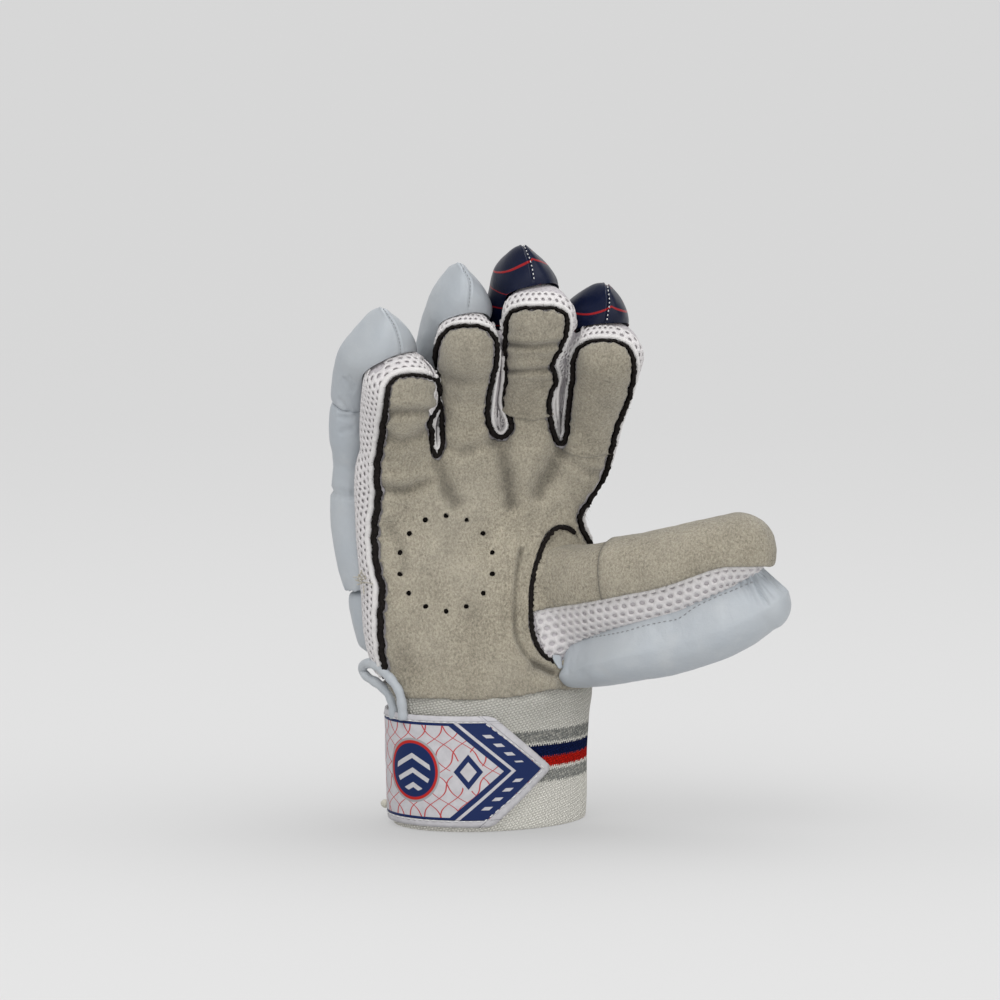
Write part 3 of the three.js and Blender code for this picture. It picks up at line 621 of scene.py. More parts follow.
class Finish:
    """A material under construction. Its methods add a node and give back its output."""

    def __init__(self, name, roughness, **values):
        self.material = bpy.data.materials.new(name)
        self.material.use_nodes = True
        self.nodes = self.material.node_tree.nodes
        self.links = self.material.node_tree.links
        self.shader = self.nodes["Principled BSDF"]
        self.shader.inputs["Roughness"].default_value = roughness
        for key, value in values.items():
            self.shader.inputs[key.replace("_", " ")].default_value = value

    def put(self, socket, value):
        if isinstance(value, bpy.types.NodeSocket):
            self.links.new(value, socket)
        else:
            socket.default_value = value

    def place(self):
        """Coordinates in the object, in metres."""
        return self.nodes.new("ShaderNodeTexCoord").outputs["Object"]

    def cut(self):
        """The coordinates along and across the piece, in millimetres."""
        node = self.nodes.new("ShaderNodeUVMap")
        node.uv_map = "cut"
        return node.outputs["UV"]

    def split(self, vector):
        node = self.nodes.new("ShaderNodeSeparateXYZ")
        self.put(node.inputs[0], vector)
        return node.outputs[0], node.outputs[1], node.outputs[2]

    def math(self, operation, *values, clamp=False):
        node = self.nodes.new("ShaderNodeMath")
        node.operation = operation
        node.use_clamp = clamp
        for socket, value in zip(node.inputs, values):
            self.put(socket, value)
        return node.outputs[0]

    def add(self, a, b):
        return self.math("ADD", a, b)

    def take(self, a, b):
        return self.math("SUBTRACT", a, b)

    def times(self, a, b):
        return self.math("MULTIPLY", a, b)

    def step(self, value, edge, soft):
        """0 below the edge and 1 above it, changing over this much."""
        node = self.nodes.new("ShaderNodeMapRange")
        node.interpolation_type = "SMOOTHSTEP"
        self.put(node.inputs["Value"], value)
        node.inputs["From Min"].default_value = edge - soft / 2
        node.inputs["From Max"].default_value = edge + soft / 2
        return node.outputs["Result"]

    def below(self, value, edge, soft):
        """1 below the edge and 0 above it, changing over this much."""
        return self.take(1.0, self.step(value, edge, soft))

    def within(self, value, low, high, soft=0.1):
        return self.times(self.step(value, low, soft), self.below(value, high, soft))

    def noise(self, vector, scale, detail=3.0, roughness=0.55, stretch=None):
        node = self.nodes.new("ShaderNodeTexNoise")
        if stretch:
            mapping = self.nodes.new("ShaderNodeMapping")
            mapping.inputs["Scale"].default_value = stretch
            self.put(mapping.inputs["Vector"], vector)
            vector = mapping.outputs["Vector"]
        self.put(node.inputs["Vector"], vector)
        node.inputs["Scale"].default_value = scale
        node.inputs["Detail"].default_value = detail
        node.inputs["Roughness"].default_value = roughness
        return node.outputs["Fac"]

    def cells(self, vector, scale, feature="F1"):
        node = self.nodes.new("ShaderNodeTexVoronoi")
        node.feature = feature
        self.put(node.inputs["Vector"], vector)
        node.inputs["Scale"].default_value = scale
        return node.outputs["Distance"]

    def ramp(self, value, low, high, from_low=0.35, from_high=0.65):
        """A colour between two, by a value."""
        node = self.nodes.new("ShaderNodeValToRGB")
        self.put(node.inputs["Fac"], value)
        node.color_ramp.elements[0].position = from_low
        node.color_ramp.elements[0].color = (*low, 1)
        node.color_ramp.elements[1].position = from_high
        node.color_ramp.elements[1].color = (*high, 1)
        return node.outputs["Color"]

    def mix(self, share, a, b):
        """Colour b over colour a, by a share."""
        node = self.nodes.new("ShaderNodeMix")
        node.data_type = "RGBA"
        self.put(node.inputs["Factor"], share)
        for socket, value in ((node.inputs["A"], a), (node.inputs["B"], b)):
            self.put(socket, value if isinstance(value, bpy.types.NodeSocket) else (*value, 1))
        return node.outputs["Result"]

    def scale_colour(self, colour, share):
        """A colour made darker or lighter by a factor."""
        node = self.nodes.new("ShaderNodeVectorMath")
        node.operation = "SCALE"
        self.put(node.inputs[0], colour)
        self.put(node.inputs["Scale"], share)
        return node.outputs[0]

    def bump(self, height, distance, below=None, strength=1.0):
        """Relief this high in millimetres, on top of what lies below."""
        node = self.nodes.new("ShaderNodeBump")
        node.inputs["Strength"].default_value = strength
        node.inputs["Distance"].default_value = distance * MM
        self.put(node.inputs["Height"], height)
        if below is not None:
            self.put(node.inputs["Normal"], below)
        return node.outputs["Normal"]

    def finish(self, colour, normal=None, roughness=None):
        plain = not isinstance(colour, bpy.types.NodeSocket)
        self.put(self.shader.inputs["Base Color"], (*colour, 1) if plain else colour)
        if normal is not None:
            self.put(self.shader.inputs["Normal"], normal)
        if roughness is not None:
            self.put(self.shader.inputs["Roughness"], roughness)
        return self.material


WHITE_LEATHER = (0.45, 0.475, 0.495)
NAVY = (0.0025, 0.006, 0.026)
DARK_RED = (0.30, 0.010, 0.014)
CLOTH_WHITE = (0.70, 0.675, 0.675)
SUEDE_LIGHT = (0.53, 0.48, 0.375)
SUEDE_DARK = (0.19, 0.167, 0.125)
NAVY_PRINT = (0.005, 0.017, 0.085)
LATTICE_RED = (0.42, 0.012, 0.012)
ROUNDEL_RED = (0.42, 0.015, 0.012)
ROUNDEL_RIM = (0.30, 0.30, 0.31)


def shades(colour, *shares):
    """Darker or lighter ones of a colour."""
    return [tuple(c * share for c in colour) for share in shares]


def leather_material():
    made = Finish("white_leather", 0.42, Specular_IOR_Level=0.4, Coat_Weight=0.06, Coat_Roughness=0.3)
    place = made.place()
    soft = made.noise(place, 22, 3)
    grain = made.cells(place, 1500)
    fine = made.noise(place, 900, 4)
    worn = made.noise(place, 60, 5, 0.6)
    darker = tuple(c * k for c, k in zip(WHITE_LEATHER, (0.86, 0.885, 0.92)))
    body = made.ramp(soft, darker, WHITE_LEATHER, 0.3, 0.7)
    tone = made.mix(made.step(worn, 0.62, 0.3), body, WHITE_LEATHER)
    normal = made.bump(made.add(grain, made.times(fine, 0.6)), 0.035)
    normal = made.bump(made.noise(place, 110, 4, 0.6), 0.5, normal)
    return made.finish(tone, normal, made.add(0.36, made.times(worn, 0.16)))


def navy_material():
    """Navy leather with thin red piped lines slanting from the hood's front seam."""
    made = Finish("navy_leather", 0.34, Specular_IOR_Level=0.28)
    place = made.place()
    u, v, _ = made.split(made.cut())
    slant = made.add(v, made.times(made.math("ABSOLUTE", u), 0.55))
    phase = made.math("PINGPONG", made.add(slant, 2.2), 5.2)
    line = made.below(phase, 0.36, 0.2)
    soft = made.noise(place, 30, 3)
    body = made.ramp(soft, *shades(NAVY, 0.75, 1.25), 0.3, 0.7)
    colour = made.mix(line, body, DARK_RED)
    normal = made.bump(made.cells(place, 1500), 0.03)
    normal = made.bump(made.noise(place, 130, 3), 0.2, normal)
    normal = made.bump(line, 0.12, normal)
    return made.finish(colour, normal, made.add(0.26, made.times(made.noise(place, 70, 4), 0.18)))


def suede_material():
    made = Finish("suede", 0.95, Specular_IOR_Level=0.15, Sheen_Weight=0.25, Sheen_Roughness=0.5)
    place = made.place()
    nap = made.noise(place, 2100, 4, 0.7)
    tufts = made.noise(place, 1150, 4, 0.65, (1, 1, 0.75))
    patches = made.noise(place, 60, 4, 0.6)
    broad = made.noise(place, 16, 2)
    specks = made.cells(place, 760)
    tone = made.add(made.add(made.times(tufts, 0.5), made.times(nap, 0.34)), made.times(patches, 0.16))
    colour = made.ramp(tone, SUEDE_DARK, SUEDE_LIGHT, 0.37, 0.6)
    colour = made.mix(made.times(made.step(broad, 0.5, 0.4), 0.3), colour, (0.36, 0.335, 0.285))
    colour = made.mix(made.times(made.below(specks, 0.16, 0.12), 0.35), colour, (0.17, 0.15, 0.12))
    # Painted shade: the suede is lightest round a spot in the middle of the palm and darker away from it.
    x, _, z = made.split(place)
    away = made.add(
        made.math("POWER", made.math("DIVIDE", made.add(x, 0.031), 0.05), 2.0),
        made.math("POWER", made.math("DIVIDE", made.take(z, 0.122), 0.04), 2.0),
    )
    middle = made.math("EXPONENT", made.times(away, -1.0))
    colour = made.scale_colour(colour, made.add(0.84, made.times(middle, 0.2)))
    # Painted shade: darker in the leather's creases and along its edges, by the fold value that each suede
    # piece carries.
    fold = made.nodes.new("ShaderNodeAttribute")
    fold.attribute_name = "fold"
    colour = made.scale_colour(colour, made.take(1.03, made.times(fold.outputs["Fac"], 0.5)))
    normal = made.bump(made.noise(place, 520, 3), 0.5)
    normal = made.bump(tufts, 0.6, normal)
    normal = made.bump(nap, 0.3, normal)
    return made.finish(colour, normal)


def edging_material():
    made = Finish("black_edging", 0.98, Specular_IOR_Level=0.03)
    place = made.place()
    fibre = made.noise(place, 1300, 4, 0.7)
    colour = made.ramp(fibre, (0.006, 0.005, 0.005), (0.028, 0.024, 0.022), 0.35, 0.75)
    return made.finish(colour, made.bump(fibre, 0.3))


def net_material(name="net", colour=CLOTH_WHITE):
    made = Finish(name, 0.85, Specular_IOR_Level=0.2, Sheen_Weight=0.15)
    place = made.place()
    knit = made.noise(place, 1700, 3, 0.6, (1, 1, 0.5))
    strands = made.cells(place, 1300)
    soft = made.noise(place, 45, 3)
    tone = made.ramp(soft, *shades(colour, 0.88, 1.0), 0.3, 0.7)
    tone = made.scale_colour(tone, made.add(0.84, made.times(knit, 0.3)))
    normal = made.bump(made.add(strands, knit), 0.12)
    return made.finish(tone, normal)


def cloth_material():
    """The cloth under the net and between the rolls: a fine closed mesh in greyer white."""
    made = Finish("cloth", 0.9, Specular_IOR_Level=0.15, Sheen_Weight=0.1)
    place = made.place()
    dots = made.cells(place, 640)
    knit = made.noise(place, 1500, 3, 0.6)
    soft = made.noise(place, 40, 3)
    tone = made.ramp(soft, (0.46, 0.435, 0.45), (0.54, 0.51, 0.53), 0.3, 0.7)
    tone = made.scale_colour(tone, made.add(0.82, made.times(made.step(dots, 0.3, 0.3), 0.2)))
    return made.finish(tone, made.bump(made.add(dots, knit), 0.2))


def elastic_material():
    """The woven wristband: upright ribs crossed by rows of stitches, with its stripes, and painted shade
    towards its top with painted light low down.
    """
    made = Finish("elastic", 0.9, Specular_IOR_Level=0.06)
    place = made.place()
    u, v, _ = made.split(made.cut())
    wobble = made.times(made.take(made.noise(place, 400, 2), 0.5), 0.35)
    leaning = made.add(v, made.times(u, 0.22))
    line = made.math("FLOOR", made.math("DIVIDE", made.add(leaning, wobble), 1.06))
    shift = made.times(made.math("MODULO", line, 2.0), 0.76)
    rib = made.math("PINGPONG", made.add(made.add(u, shift), made.times(wobble, 0.6)), 0.76)
    row = made.math("PINGPONG", made.add(leaning, wobble), 0.53)
    knot = made.times(made.step(rib, 0.24, 0.4), made.step(row, 0.17, 0.3))
    speckle = made.noise(place, 800, 3, 0.6)
    cream = made.ramp(speckle, (0.585, 0.57, 0.515), (0.71, 0.695, 0.64), 0.3, 0.7)
    colour = made.scale_colour(cream, made.add(0.76, made.times(knot, 0.27)))
    edge = made.add(v, made.times(made.take(made.step(made.math("PINGPONG", u, 0.62), 0.3, 0.2), 0.5), 0.7))
    colours = {"grey": (0.17, 0.175, 0.165), "navy": (0.003, 0.008, 0.045), "red": (0.36, 0.008, 0.004)}
    for low, high, name in STRIPES:
        share = made.within(edge, low, high, 0.12)
        if name == "grey":
            share = made.times(share, made.add(0.42, made.times(made.step(speckle, 0.46, 0.3), 0.58)))
        shade = made.scale_colour(
            made.ramp(speckle, *shades(colours[name], 0.7, 1.25)),
            made.add(0.75, made.times(knot, 0.4)),
        )
        colour = made.mix(share, colour, shade)
    # Painted shade and light: darker towards the top, under the hand, and lighter low down.
    colour = made.scale_colour(colour, made.take(1.15, made.times(made.step(v, 34.0, 44.0), 0.37)))
    normal = made.bump(knot, 0.34)
    normal = made.bump(speckle, 0.08, normal)
    return made.finish(colour, normal)


def strap_material(length, half):
    """The strap's print: navy lines in its long edges, a thin red lattice, and a chevron at its point.

    u runs along the strap from its point's tip and v up from its middle.
    """
    made = Finish("strap", 0.45, Specular_IOR_Level=0.2)
    place = made.place()
    u, v, _ = made.split(made.cut())
    rise = made.math("ABSOLUTE", v)
    slope = length / half
    lean = math.hypot(1, slope)
    inside = made.math("DIVIDE", made.take(u, made.times(rise, slope)), lean)
    side = made.take(half, rise)
    grain = made.noise(place, 320, 3)
    white = made.ramp(grain, (0.46, 0.45, 0.47), (0.54, 0.53, 0.55), 0.3, 0.7)

    wave = made.times(made.math("SINE", made.times(v, 0.5)), 1.3)
    rising = made.math("PINGPONG", made.add(made.add(u, made.times(v, 0.75)), wave), 3.4)
    falling = made.math("PINGPONG", made.take(made.take(u, made.times(v, 1.1)), wave), 4.3)
    lattice = made.math("MAXIMUM", made.below(rising, 0.3, 0.14), made.below(falling, 0.3, 0.14))
    colour = made.mix(made.times(lattice, 0.9), white, LATTICE_RED)

    diamond = made.add(made.math("ABSOLUTE", made.take(u, 36.5)), made.times(rise, 0.8))
    for reach, shade in ((7.6, white), (6.0, NAVY_PRINT), (3.4, white)):
        colour = made.mix(made.below(diamond, reach, 0.2), colour, shade)

    across = made.math("DIVIDE", made.take(u, 60.0), 12.0)
    up = made.math("DIVIDE", v, 13.6)
    away = made.math("SQRT", made.add(made.times(across, across), made.times(up, up)))
    for reach, shade in ((1.0, ROUNDEL_RIM), (0.93, ROUNDEL_RED), (0.84, NAVY_PRINT)):
        colour = made.mix(made.below(away, reach, 0.02), colour, shade)
    leaning = made.times(made.math("ABSOLUTE", made.take(u, 60.0)), 0.6)
    bars = made.math("PINGPONG", made.add(v, leaning), 3.1)
    bar = made.times(made.below(bars, 1.1, 0.16), made.below(away, 0.66, 0.02))
    colour = made.mix(bar, colour, white)

    border = made.within(side, 2.9, 4.1, 0.12)
    colour = made.mix(made.times(border, made.step(inside, 14.0, 0.2)), colour, NAVY_PRINT)
    for low, high, shade in ((12.2, 14.4, NAVY_PRINT), (11.0, 12.2, white), (3.6, 11.0, NAVY_PRINT)):
        colour = made.mix(made.within(inside, low, high, 0.15), colour, shade)
    dash = made.below(made.math("PINGPONG", made.take(v, 3.5), 1.9), 0.7, 0.14)
    row = made.times(made.within(inside, 6.2, 8.4, 0.15), made.within(rise, 3.5, 17.5, 0.2))
    colour = made.mix(made.times(dash, row), colour, white)
    rim = made.math("MAXIMUM", made.below(side, 2.9, 0.12), made.below(inside, 3.4, 0.12))
    colour = made.mix(rim, colour, white)

    sewn = made.math("MAXIMUM", made.within(side, 2.3, 3.1, 0.4), made.within(inside, 2.6, 3.4, 0.4))
    normal = made.bump(made.noise(place, 900, 3), 0.03)
    normal = made.bump(made.noise(place, 90, 3), 0.15, normal)
    normal = made.bump(made.take(1.0, sewn), 0.35, normal)
    return made.finish(colour, normal)


def thread_material(name, colour):
    made = Finish(name, 0.7, Specular_IOR_Level=0.3)
    twist = made.noise(made.place(), 2200, 2)
    tone = made.ramp(twist, *shades(colour, 0.8, 1.0), 0.3, 0.7)
    return made.finish(tone, made.bump(twist, 0.08))


LEATHER = leather_material()
NAVY_LEATHER = navy_material()
SUEDE_FINISH = suede_material()
BLACK = edging_material()
NET_FINISH = net_material()
HEM_FINISH = net_material("net_hem", (0.72, 0.70, 0.69))
CLOTH = cloth_material()
ELASTIC = elastic_material()
WHITE_THREAD = thread_material("white_thread", (0.72, 0.72, 0.72))
GREY_THREAD = thread_material("grey_thread", (0.30, 0.31, 0.32))
TUFT_THREAD = thread_material("loose_thread", (0.47, 0.44, 0.37))
ELASTIC_TAB = net_material("woven_tab", (0.60, 0.58, 0.50))


# Skins that everything is laid on

stall_rings = [digit_rings(name, STALL_START, 26, 44) for name in FINGERS]
hand_skin = remeshed([hand_rings(72)] + stall_rings, 1.5, 6)
thumb_rings = digit_rings("thumb", 0.0, 40, 64)
thumb_skin = Skin(thumb_rings.reshape(-1, 3), grid_faces(*thumb_rings.shape[:2], wrap=True, caps=True))
joined_skin = remeshed([hand_rings(72), thumb_rings], 1.5, 16)


def add_cloth():
    """The hollow cloth of hand and fingers, open at the wrist, and the thumb's, open at its foot."""
    low = CUFF["height"] - 0.9
    kept = [face for face in hand_skin.faces if max(hand_skin.points[k][2] for k in face) > low]
    tucked = np.clip((67 - hand_skin.points[:, 2]) / 6, 0, 1)
    points = hand_skin.points - hand_skin.normals * (1.7 * tucked)[:, None]
    made = piece(
        "hand_cloth", points, kept, CLOTH, "mesh_cloth",
        ("hand_sleeve", "little_stall", "ring_stall", "middle_stall", "index_stall"),
    )
    thicken(made, CLOTH_WALL)
    rings = thumb_rings[9:]
    faces = grid_faces(*rings.shape[:2], wrap=True)
    faces.append([(rings.shape[0] - 1) * rings.shape[1] + k for k in range(rings.shape[1])])
    points = rings.reshape(-1, 3)
    middles = np.repeat(rings.mean(axis=1), rings.shape[1], axis=0)
    faces = outward_faces(points, faces, points - middles)
    made = piece("thumb_cloth", points, faces, CLOTH, "mesh_cloth", ("thumb_stall",))
    thicken(made, CLOTH_WALL)


# The palm

def arch(x, z, half, rise, power):
    """Points over a fingertip, squarer where the power is lower."""
    angles = np.radians([160, 138, 114, 90, 66, 42, 20])
    return [(x + half * swell(math.cos(a), power), z + rise * math.sin(a) ** power) for a in angles]


def palm_path():
    """The palm leather's edge in the picture, from the wrist's left end over the fingers to its right."""
    points = []
    for finger in PALM_FINGERS:
        points += finger["left"] + arch(*finger["arch"]) + finger["right"]
        if finger["fork"]:
            points.append(finger["fork"])
    return smooth_line(points + PALM_THUMB_SIDE, 0.8)


def ruffle(length, size, wave, seed):
    """A small uneven in-and-out along a line."""
    return np.array([
        size * (
            0.6 * math.sin(2 * math.pi * s / wave + seed)
            + 1.3 * noise.noise(Vector((s / wave * 1.7, seed, 0)))
        )
        for s in length
    ])


def beside(points, distance):
    """A line moved to its left by a distance."""
    ahead = unit(np.gradient(points, axis=0))
    left = np.column_stack([-ahead[:, 1], ahead[:, 0]])
    return points + left * np.asarray(distance).reshape(-1, 1)


def ring_of(outline):
    """A closed outline as a line that ends where it starts."""
    return np.vstack([outline, outline[:1]])


def inside_outline(points, outline):
    """Which points lie inside a closed outline."""
    x, z = points[:, 0][:, None], points[:, 1][:, None]
    x0, z0 = outline[:, 0][None, :], outline[:, 1][None, :]
    x1, z1 = np.roll(outline[:, 0], -1)[None, :], np.roll(outline[:, 1], -1)[None, :]
    crosses = (z0 > z) != (z1 > z)
    at = x0 + (z - z0) * (x1 - x0) / np.where(z1 == z0, 1e-9, z1 - z0)
    return (crosses & (x < at)).sum(axis=1) % 2 == 1


def distance_to(points, line):
    """Distance from each point to an open line."""
    a, b = line[:-1][None], line[1:][None]
    ab = b - a
    t = np.clip(((points[:, None] - a) * ab).sum(-1) / np.maximum((ab**2).sum(-1), 1e-9), 0, 1)
    return np.linalg.norm(points[:, None] - (a + ab * t[..., None]), axis=-1).min(axis=1)


def flat_mesh(outline, spacing, holes=()):
    """Points and triangles that fill an outline less its holes, both closed lines in a plane."""
    low, high = outline.min(0), outline.max(0)
    rows = np.arange(low[1], high[1], spacing * 0.866)
    starts = [np.arange(low[0] + (k % 2) * spacing / 2, high[0], spacing) for k in range(len(rows))]
    lattice = np.concatenate([np.column_stack([x, np.full(len(x), z)]) for x, z in zip(starts, rows)])
    lattice = lattice[inside_outline(lattice, outline)]
    lattice = lattice[distance_to(lattice, ring_of(outline)) > spacing * 0.55]
    for hole in holes:
        lattice = lattice[~inside_outline(lattice, hole)]
        lattice = lattice[distance_to(lattice, ring_of(hole)) > spacing * 0.45]
    loops, points = [], []
    for loop in [outline, *holes]:
        first = sum(len(p) for p in points)
        loops += [(first + k, first + (k + 1) % len(loop)) for k in range(len(loop))]
        points.append(loop)
    every = np.concatenate([*points, lattice])
    found = delaunay_2d_cdt([Vector(p) for p in every], loops, [], 0, 1e-5)
    places = np.array([tuple(p) for p in found[0]])
    tris = np.array([f for f in found[2] if len(f) == 3])
    middles = places[tris].mean(axis=1)
    kept = inside_outline(middles, outline)
    for hole in holes:
        kept &= ~inside_outline(middles, hole)
    tris = tris[kept]
    used, tris = np.unique(tris, return_inverse=True)
    return places[used], tris.reshape(-1, 3)


def facing_out(points, tris, outward):
    """Triangles turned so that their normals go the way that outward does."""
    return tris if (normals_of(points, tris) * outward).sum() > 0 else tris[:, ::-1]


def laid_out(skin, places):
    """Points and normals where the camera sees places of its picture on a skin."""
    found = [skin.seen(x, z) for x, z in places]
    return np.array([f[0] for f in found]), np.array([f[1] for f in found])


def sweep(points, normals, profile, closed_ends=True):
    """A strip along a line. The profile gives the corners across and above each of its points."""
    ahead = unit(np.gradient(points, axis=0))
    across = unit(np.cross(normals, ahead))
    up = unit(np.cross(ahead, across))
    rings = points[:, None] + across[:, None] * profile[..., :1] + up[:, None] * profile[..., 1:]
    faces = grid_faces(rings.shape[0], rings.shape[1], wrap=True, caps=closed_ends)
    return rings.reshape(-1, 3), faces


def smoothed(values, steps):
    """A line's points or normals with small jumps taken out."""
    values = values.copy()
    for _ in range(steps):
        values[1:-1] = 0.25 * values[:-2] + 0.5 * values[1:-1] + 0.25 * values[2:]
    return values


def edge_widths(path):
    """The edging's width along its path: wide down the hand's side, narrow over the fingertips."""
    ahead = np.abs(unit(np.gradient(path, axis=0)))
    over_tip = ahead[:, 0] * np.clip((path[:, 1] - 172) / 8, 0, 1)
    down_side = np.clip((-37 - path[:, 0]) / 4, 0, 1) * np.clip((176 - path[:, 1]) / 8, 0, 1)
    return smoothed(EDGING["width"] * (1 - 0.5 * over_tip + 0.25 * down_side), 10)


def edging_profile(length, width, low, high, seed):
    """Corners of a ragged strip along its length."""
    wander = ruffle(length, 0.24, 2.3, seed)
    grow = ruffle(length, 0.3, 2.7, seed + 4)
    half = width / 2 + grow * 0.7
    top = high + ruffle(length, 0.3, 4.2, seed + 9)
    corners = [(-1, 0), (-1.06, 0.8), (-0.86, 1), (0, 0.97), (0.86, 1), (1.06, 0.8), (1, 0)]
    return np.stack([
        np.column_stack([wander + half * a, low + (top - low) * b]) for a, b in corners
    ], axis=1)


def wrinkled(flat):
    """Relief of the palm leather in millimetres: creases, folds and a slight unevenness."""
    height = np.zeros(len(flat))
    for line, depth, half in CREASES:
        away = distance_to(flat, smooth_line(line, 1.0)) / half
        height += depth * (-np.exp(-(away**2)) + 0.5 * np.exp(-((away - 2.1) ** 2)))
    for k, (x, z) in enumerate(flat):
        broad, fine = Vector((x / 11, z / 15, 3.0)), Vector((x / 4, z / 5, 7.0))
        height[k] += 0.6 * noise.noise(broad) + 0.35 * noise.noise(fine)
    return height


def towards(normals, share=0.65):
    """Normals leant towards the camera, so that what stands on a steep side doesn't fill the gap by it."""
    return unit(normals * (1 - share) + BACKWARDS * share)


def shade_folds(made, values):
    """Paints shade into a suede piece where it folds or meets an edge, by a value for each point."""
    layer = made.data.attributes.new("fold", "FLOAT", "POINT")
    layer.data.foreach_set("value", values.astype(np.float32))


def laid_sheet(
    name, skin, outline, holes, base, material, slot, node, thick, relief=1.0,
):
    """A sheet cut to an outline in the picture and laid over a skin at a height."""
    flat, tris = flat_mesh(outline, 1.0, holes)
    points, outward = laid_out(skin, flat)
    edges = edges_of(tris)
    points = relax(points, edges, 3)
    outward = towards(unit(relax(outward, edges, 6)))
    tris = facing_out(points, tris, outward)
    folds = wrinkled(flat)
    near = distance_to(flat, ring_of(outline))
    # Painted shade, which the suede finish reads: darker in the creases and close to the outline.
    fold = np.clip((0.1 - folds) / 1.7, 0, 1) + 0.3 * np.exp(-near / 1.1)
    height = base + relief * (folds - 0.5 * np.exp(-((near / 1.0) ** 2)))
    height = np.where(height < 0.9, 0.9 - 0.55 * np.tanh((0.9 - height) / 0.8), height)
    points = points + outward * height[:, None]
    made = piece(name, points, tris.tolist(), material, slot, node)
    shade_folds(made, fold)
    return thicken(made, thick)


def add_palm():
    path = palm_path()
    length = along_line(path)
    left = np.clip((-37 - path[:, 0]) / 4, 0, 1) * np.clip((176 - path[:, 1]) / 8, 0, 1)
    waved = beside(path, ruffle(length, 0.42, 5.4, 1.0) + 0.35 * left * np.sin(length / 1.3))
    widths = edge_widths(waved)
    bite = 0.35 * np.abs(np.sin(math.pi * length / 2.9)) + ruffle(length, 0.34, 1.7, 6.0)
    bite += 0.4 * left * np.abs(np.sin(length / 2.6))
    inner = beside(waved, -(widths / 2 - 0.15 + bite))
    wrist = smooth_line([inner[-1], *PALM_WRIST, inner[0]], 0.9)[1:-1]
    outline = evenly(np.vstack([inner, wrist]), 0.7, closed=True)
    centres = [
        (HOLES["x"] + HOLES["half_width"] * math.cos(a), HOLES["z"] + HOLES["half_height"] * math.sin(a))
        for a in around(HOLES["count"]) + math.pi / HOLES["count"]
    ]
    circle = np.column_stack([np.cos(around(10)), np.sin(around(10))]) * HOLES["radius"]
    mouth = beside(smooth_line(THUMB_ARC[:-1], 0.9), -0.7)
    mouth = evenly(np.vstack([mouth, THUMB_MOUTH[::-1]]), 0.9, closed=True)
    holes = [circle + np.array(c) for c in centres] + [mouth]
    laid_sheet(
        "palm_suede", hand_skin, outline, holes, PILE + SUEDE, SUEDE_FINISH, "suede", ("palm_leather",),
        SUEDE, 1.25,
    )
    for name, edge in OVERLAYS:
        seam = smooth_line(edge, 0.8)
        seam = beside(seam, ruffle(along_line(seam), 0.12, 5.0, 3.0))
        first = np.argmin(np.linalg.norm(inner - seam[0], axis=1))
        last = np.argmin(np.linalg.norm(inner - seam[-1], axis=1))
        patch = evenly(np.vstack([inner[first:last + 1], seam[::-1]]), 0.85, closed=True)
        laid_sheet(
            f"{name}_finger_patch", hand_skin, patch, [], PILE + SUEDE + OVERLAY, SUEDE_FINISH, "suede", (),
            SUEDE,
        )

    edge_points = add_edging("palm", waved, 14, widths, EDGING["low"], EDGING["high"], 2.0, widths, 2.2)
    # Painted shade: black discs at the bottom of the punched holes make them read as dark hollows.
    hole_shade_points, hole_shade_faces = [], []
    for centre in centres:
        places, ups = laid_out(hand_skin, circle * 1.5 + np.array(centre))
        hole_shade_faces.append([len(hole_shade_points) + k for k in range(len(places))])
        hole_shade_points += list(places + ups * 0.45)
    thicken(piece("punched_hole_shade", np.array(hole_shade_points), hole_shade_faces, BLACK, "edging"), 0.25)
    return edge_points, waved, widths


def add_edging(name, path, steps, width, low, high, seed, reach, each):
    """A raised black edging along a path in the picture, with its stray fibres out to a reach."""
    points, ups = laid_out(hand_skin, path)
    points, ups = smoothed(points, 3), towards(unit(smoothed(ups, steps)))
    strip, faces = sweep(points, ups, edging_profile(along_line(points), width, low, high, seed))
    piece(f"{name}_black_edging", strip, faces, BLACK, "edging", (f"{name}_edging",))
    add_fuzz(f"{name}_edging_fuzz", points, ups, reach, high, each)
    return points


def add_fuzz(name, points, ups, width, height, each):
    """Short stray fibres along a cut edge, this many to a millimetre."""
    random = np.random.default_rng(4)
    length = along_line(points)
    count = int(length[-1] * each)
    at = random.uniform(0, length[-1], count)
    place = at_lengths(at, length, points)
    up = unit(at_lengths(at, length, ups))
    width = np.interp(at, length, np.broadcast_to(width, len(points)))[:, None]
    ahead = unit(at_lengths(at, length, np.gradient(points, axis=0)))
    across = unit(np.cross(up, ahead))
    side = random.uniform(-1, 1, (count, 1))
    foot = place + across * side * width / 2 + up * random.uniform(0.4, 0.95, (count, 1)) * height
    sideways = across * (side + random.normal(0, 0.5, (count, 1)))
    lean = sideways + ahead * random.normal(0, 0.7, (count, 1)) + up * 0.8
    reach = random.uniform(0.5, 1.5, (count, 1))
    tip = foot + lean * reach + random.normal(0, 0.15, (count, 3))
    corners = np.stack([foot - ahead * 0.09, foot + ahead * 0.09, foot + up * 0.14, tip], axis=1)
    faces = []
    for k in range(0, 4 * count, 4):
        faces += [(k, k + 1, k + 2), (k, k + 3, k + 1), (k + 1, k + 3, k + 2), (k + 2, k + 3, k)]
    piece(name, corners.reshape(-1, 3), faces, BLACK, "edging", flat=True)


def add_thumb_arc():
    path = smooth_line(THUMB_ARC, 0.6)
    path = beside(path, ruffle(along_line(path), 0.15, 9.0, 5.0))
    width = EDGING["width"]
    add_edging("thumb", path, 10, width * 0.95, 1.2, EDGING["high"] + 0.6, 7.0, width, 2.0)


# Nets

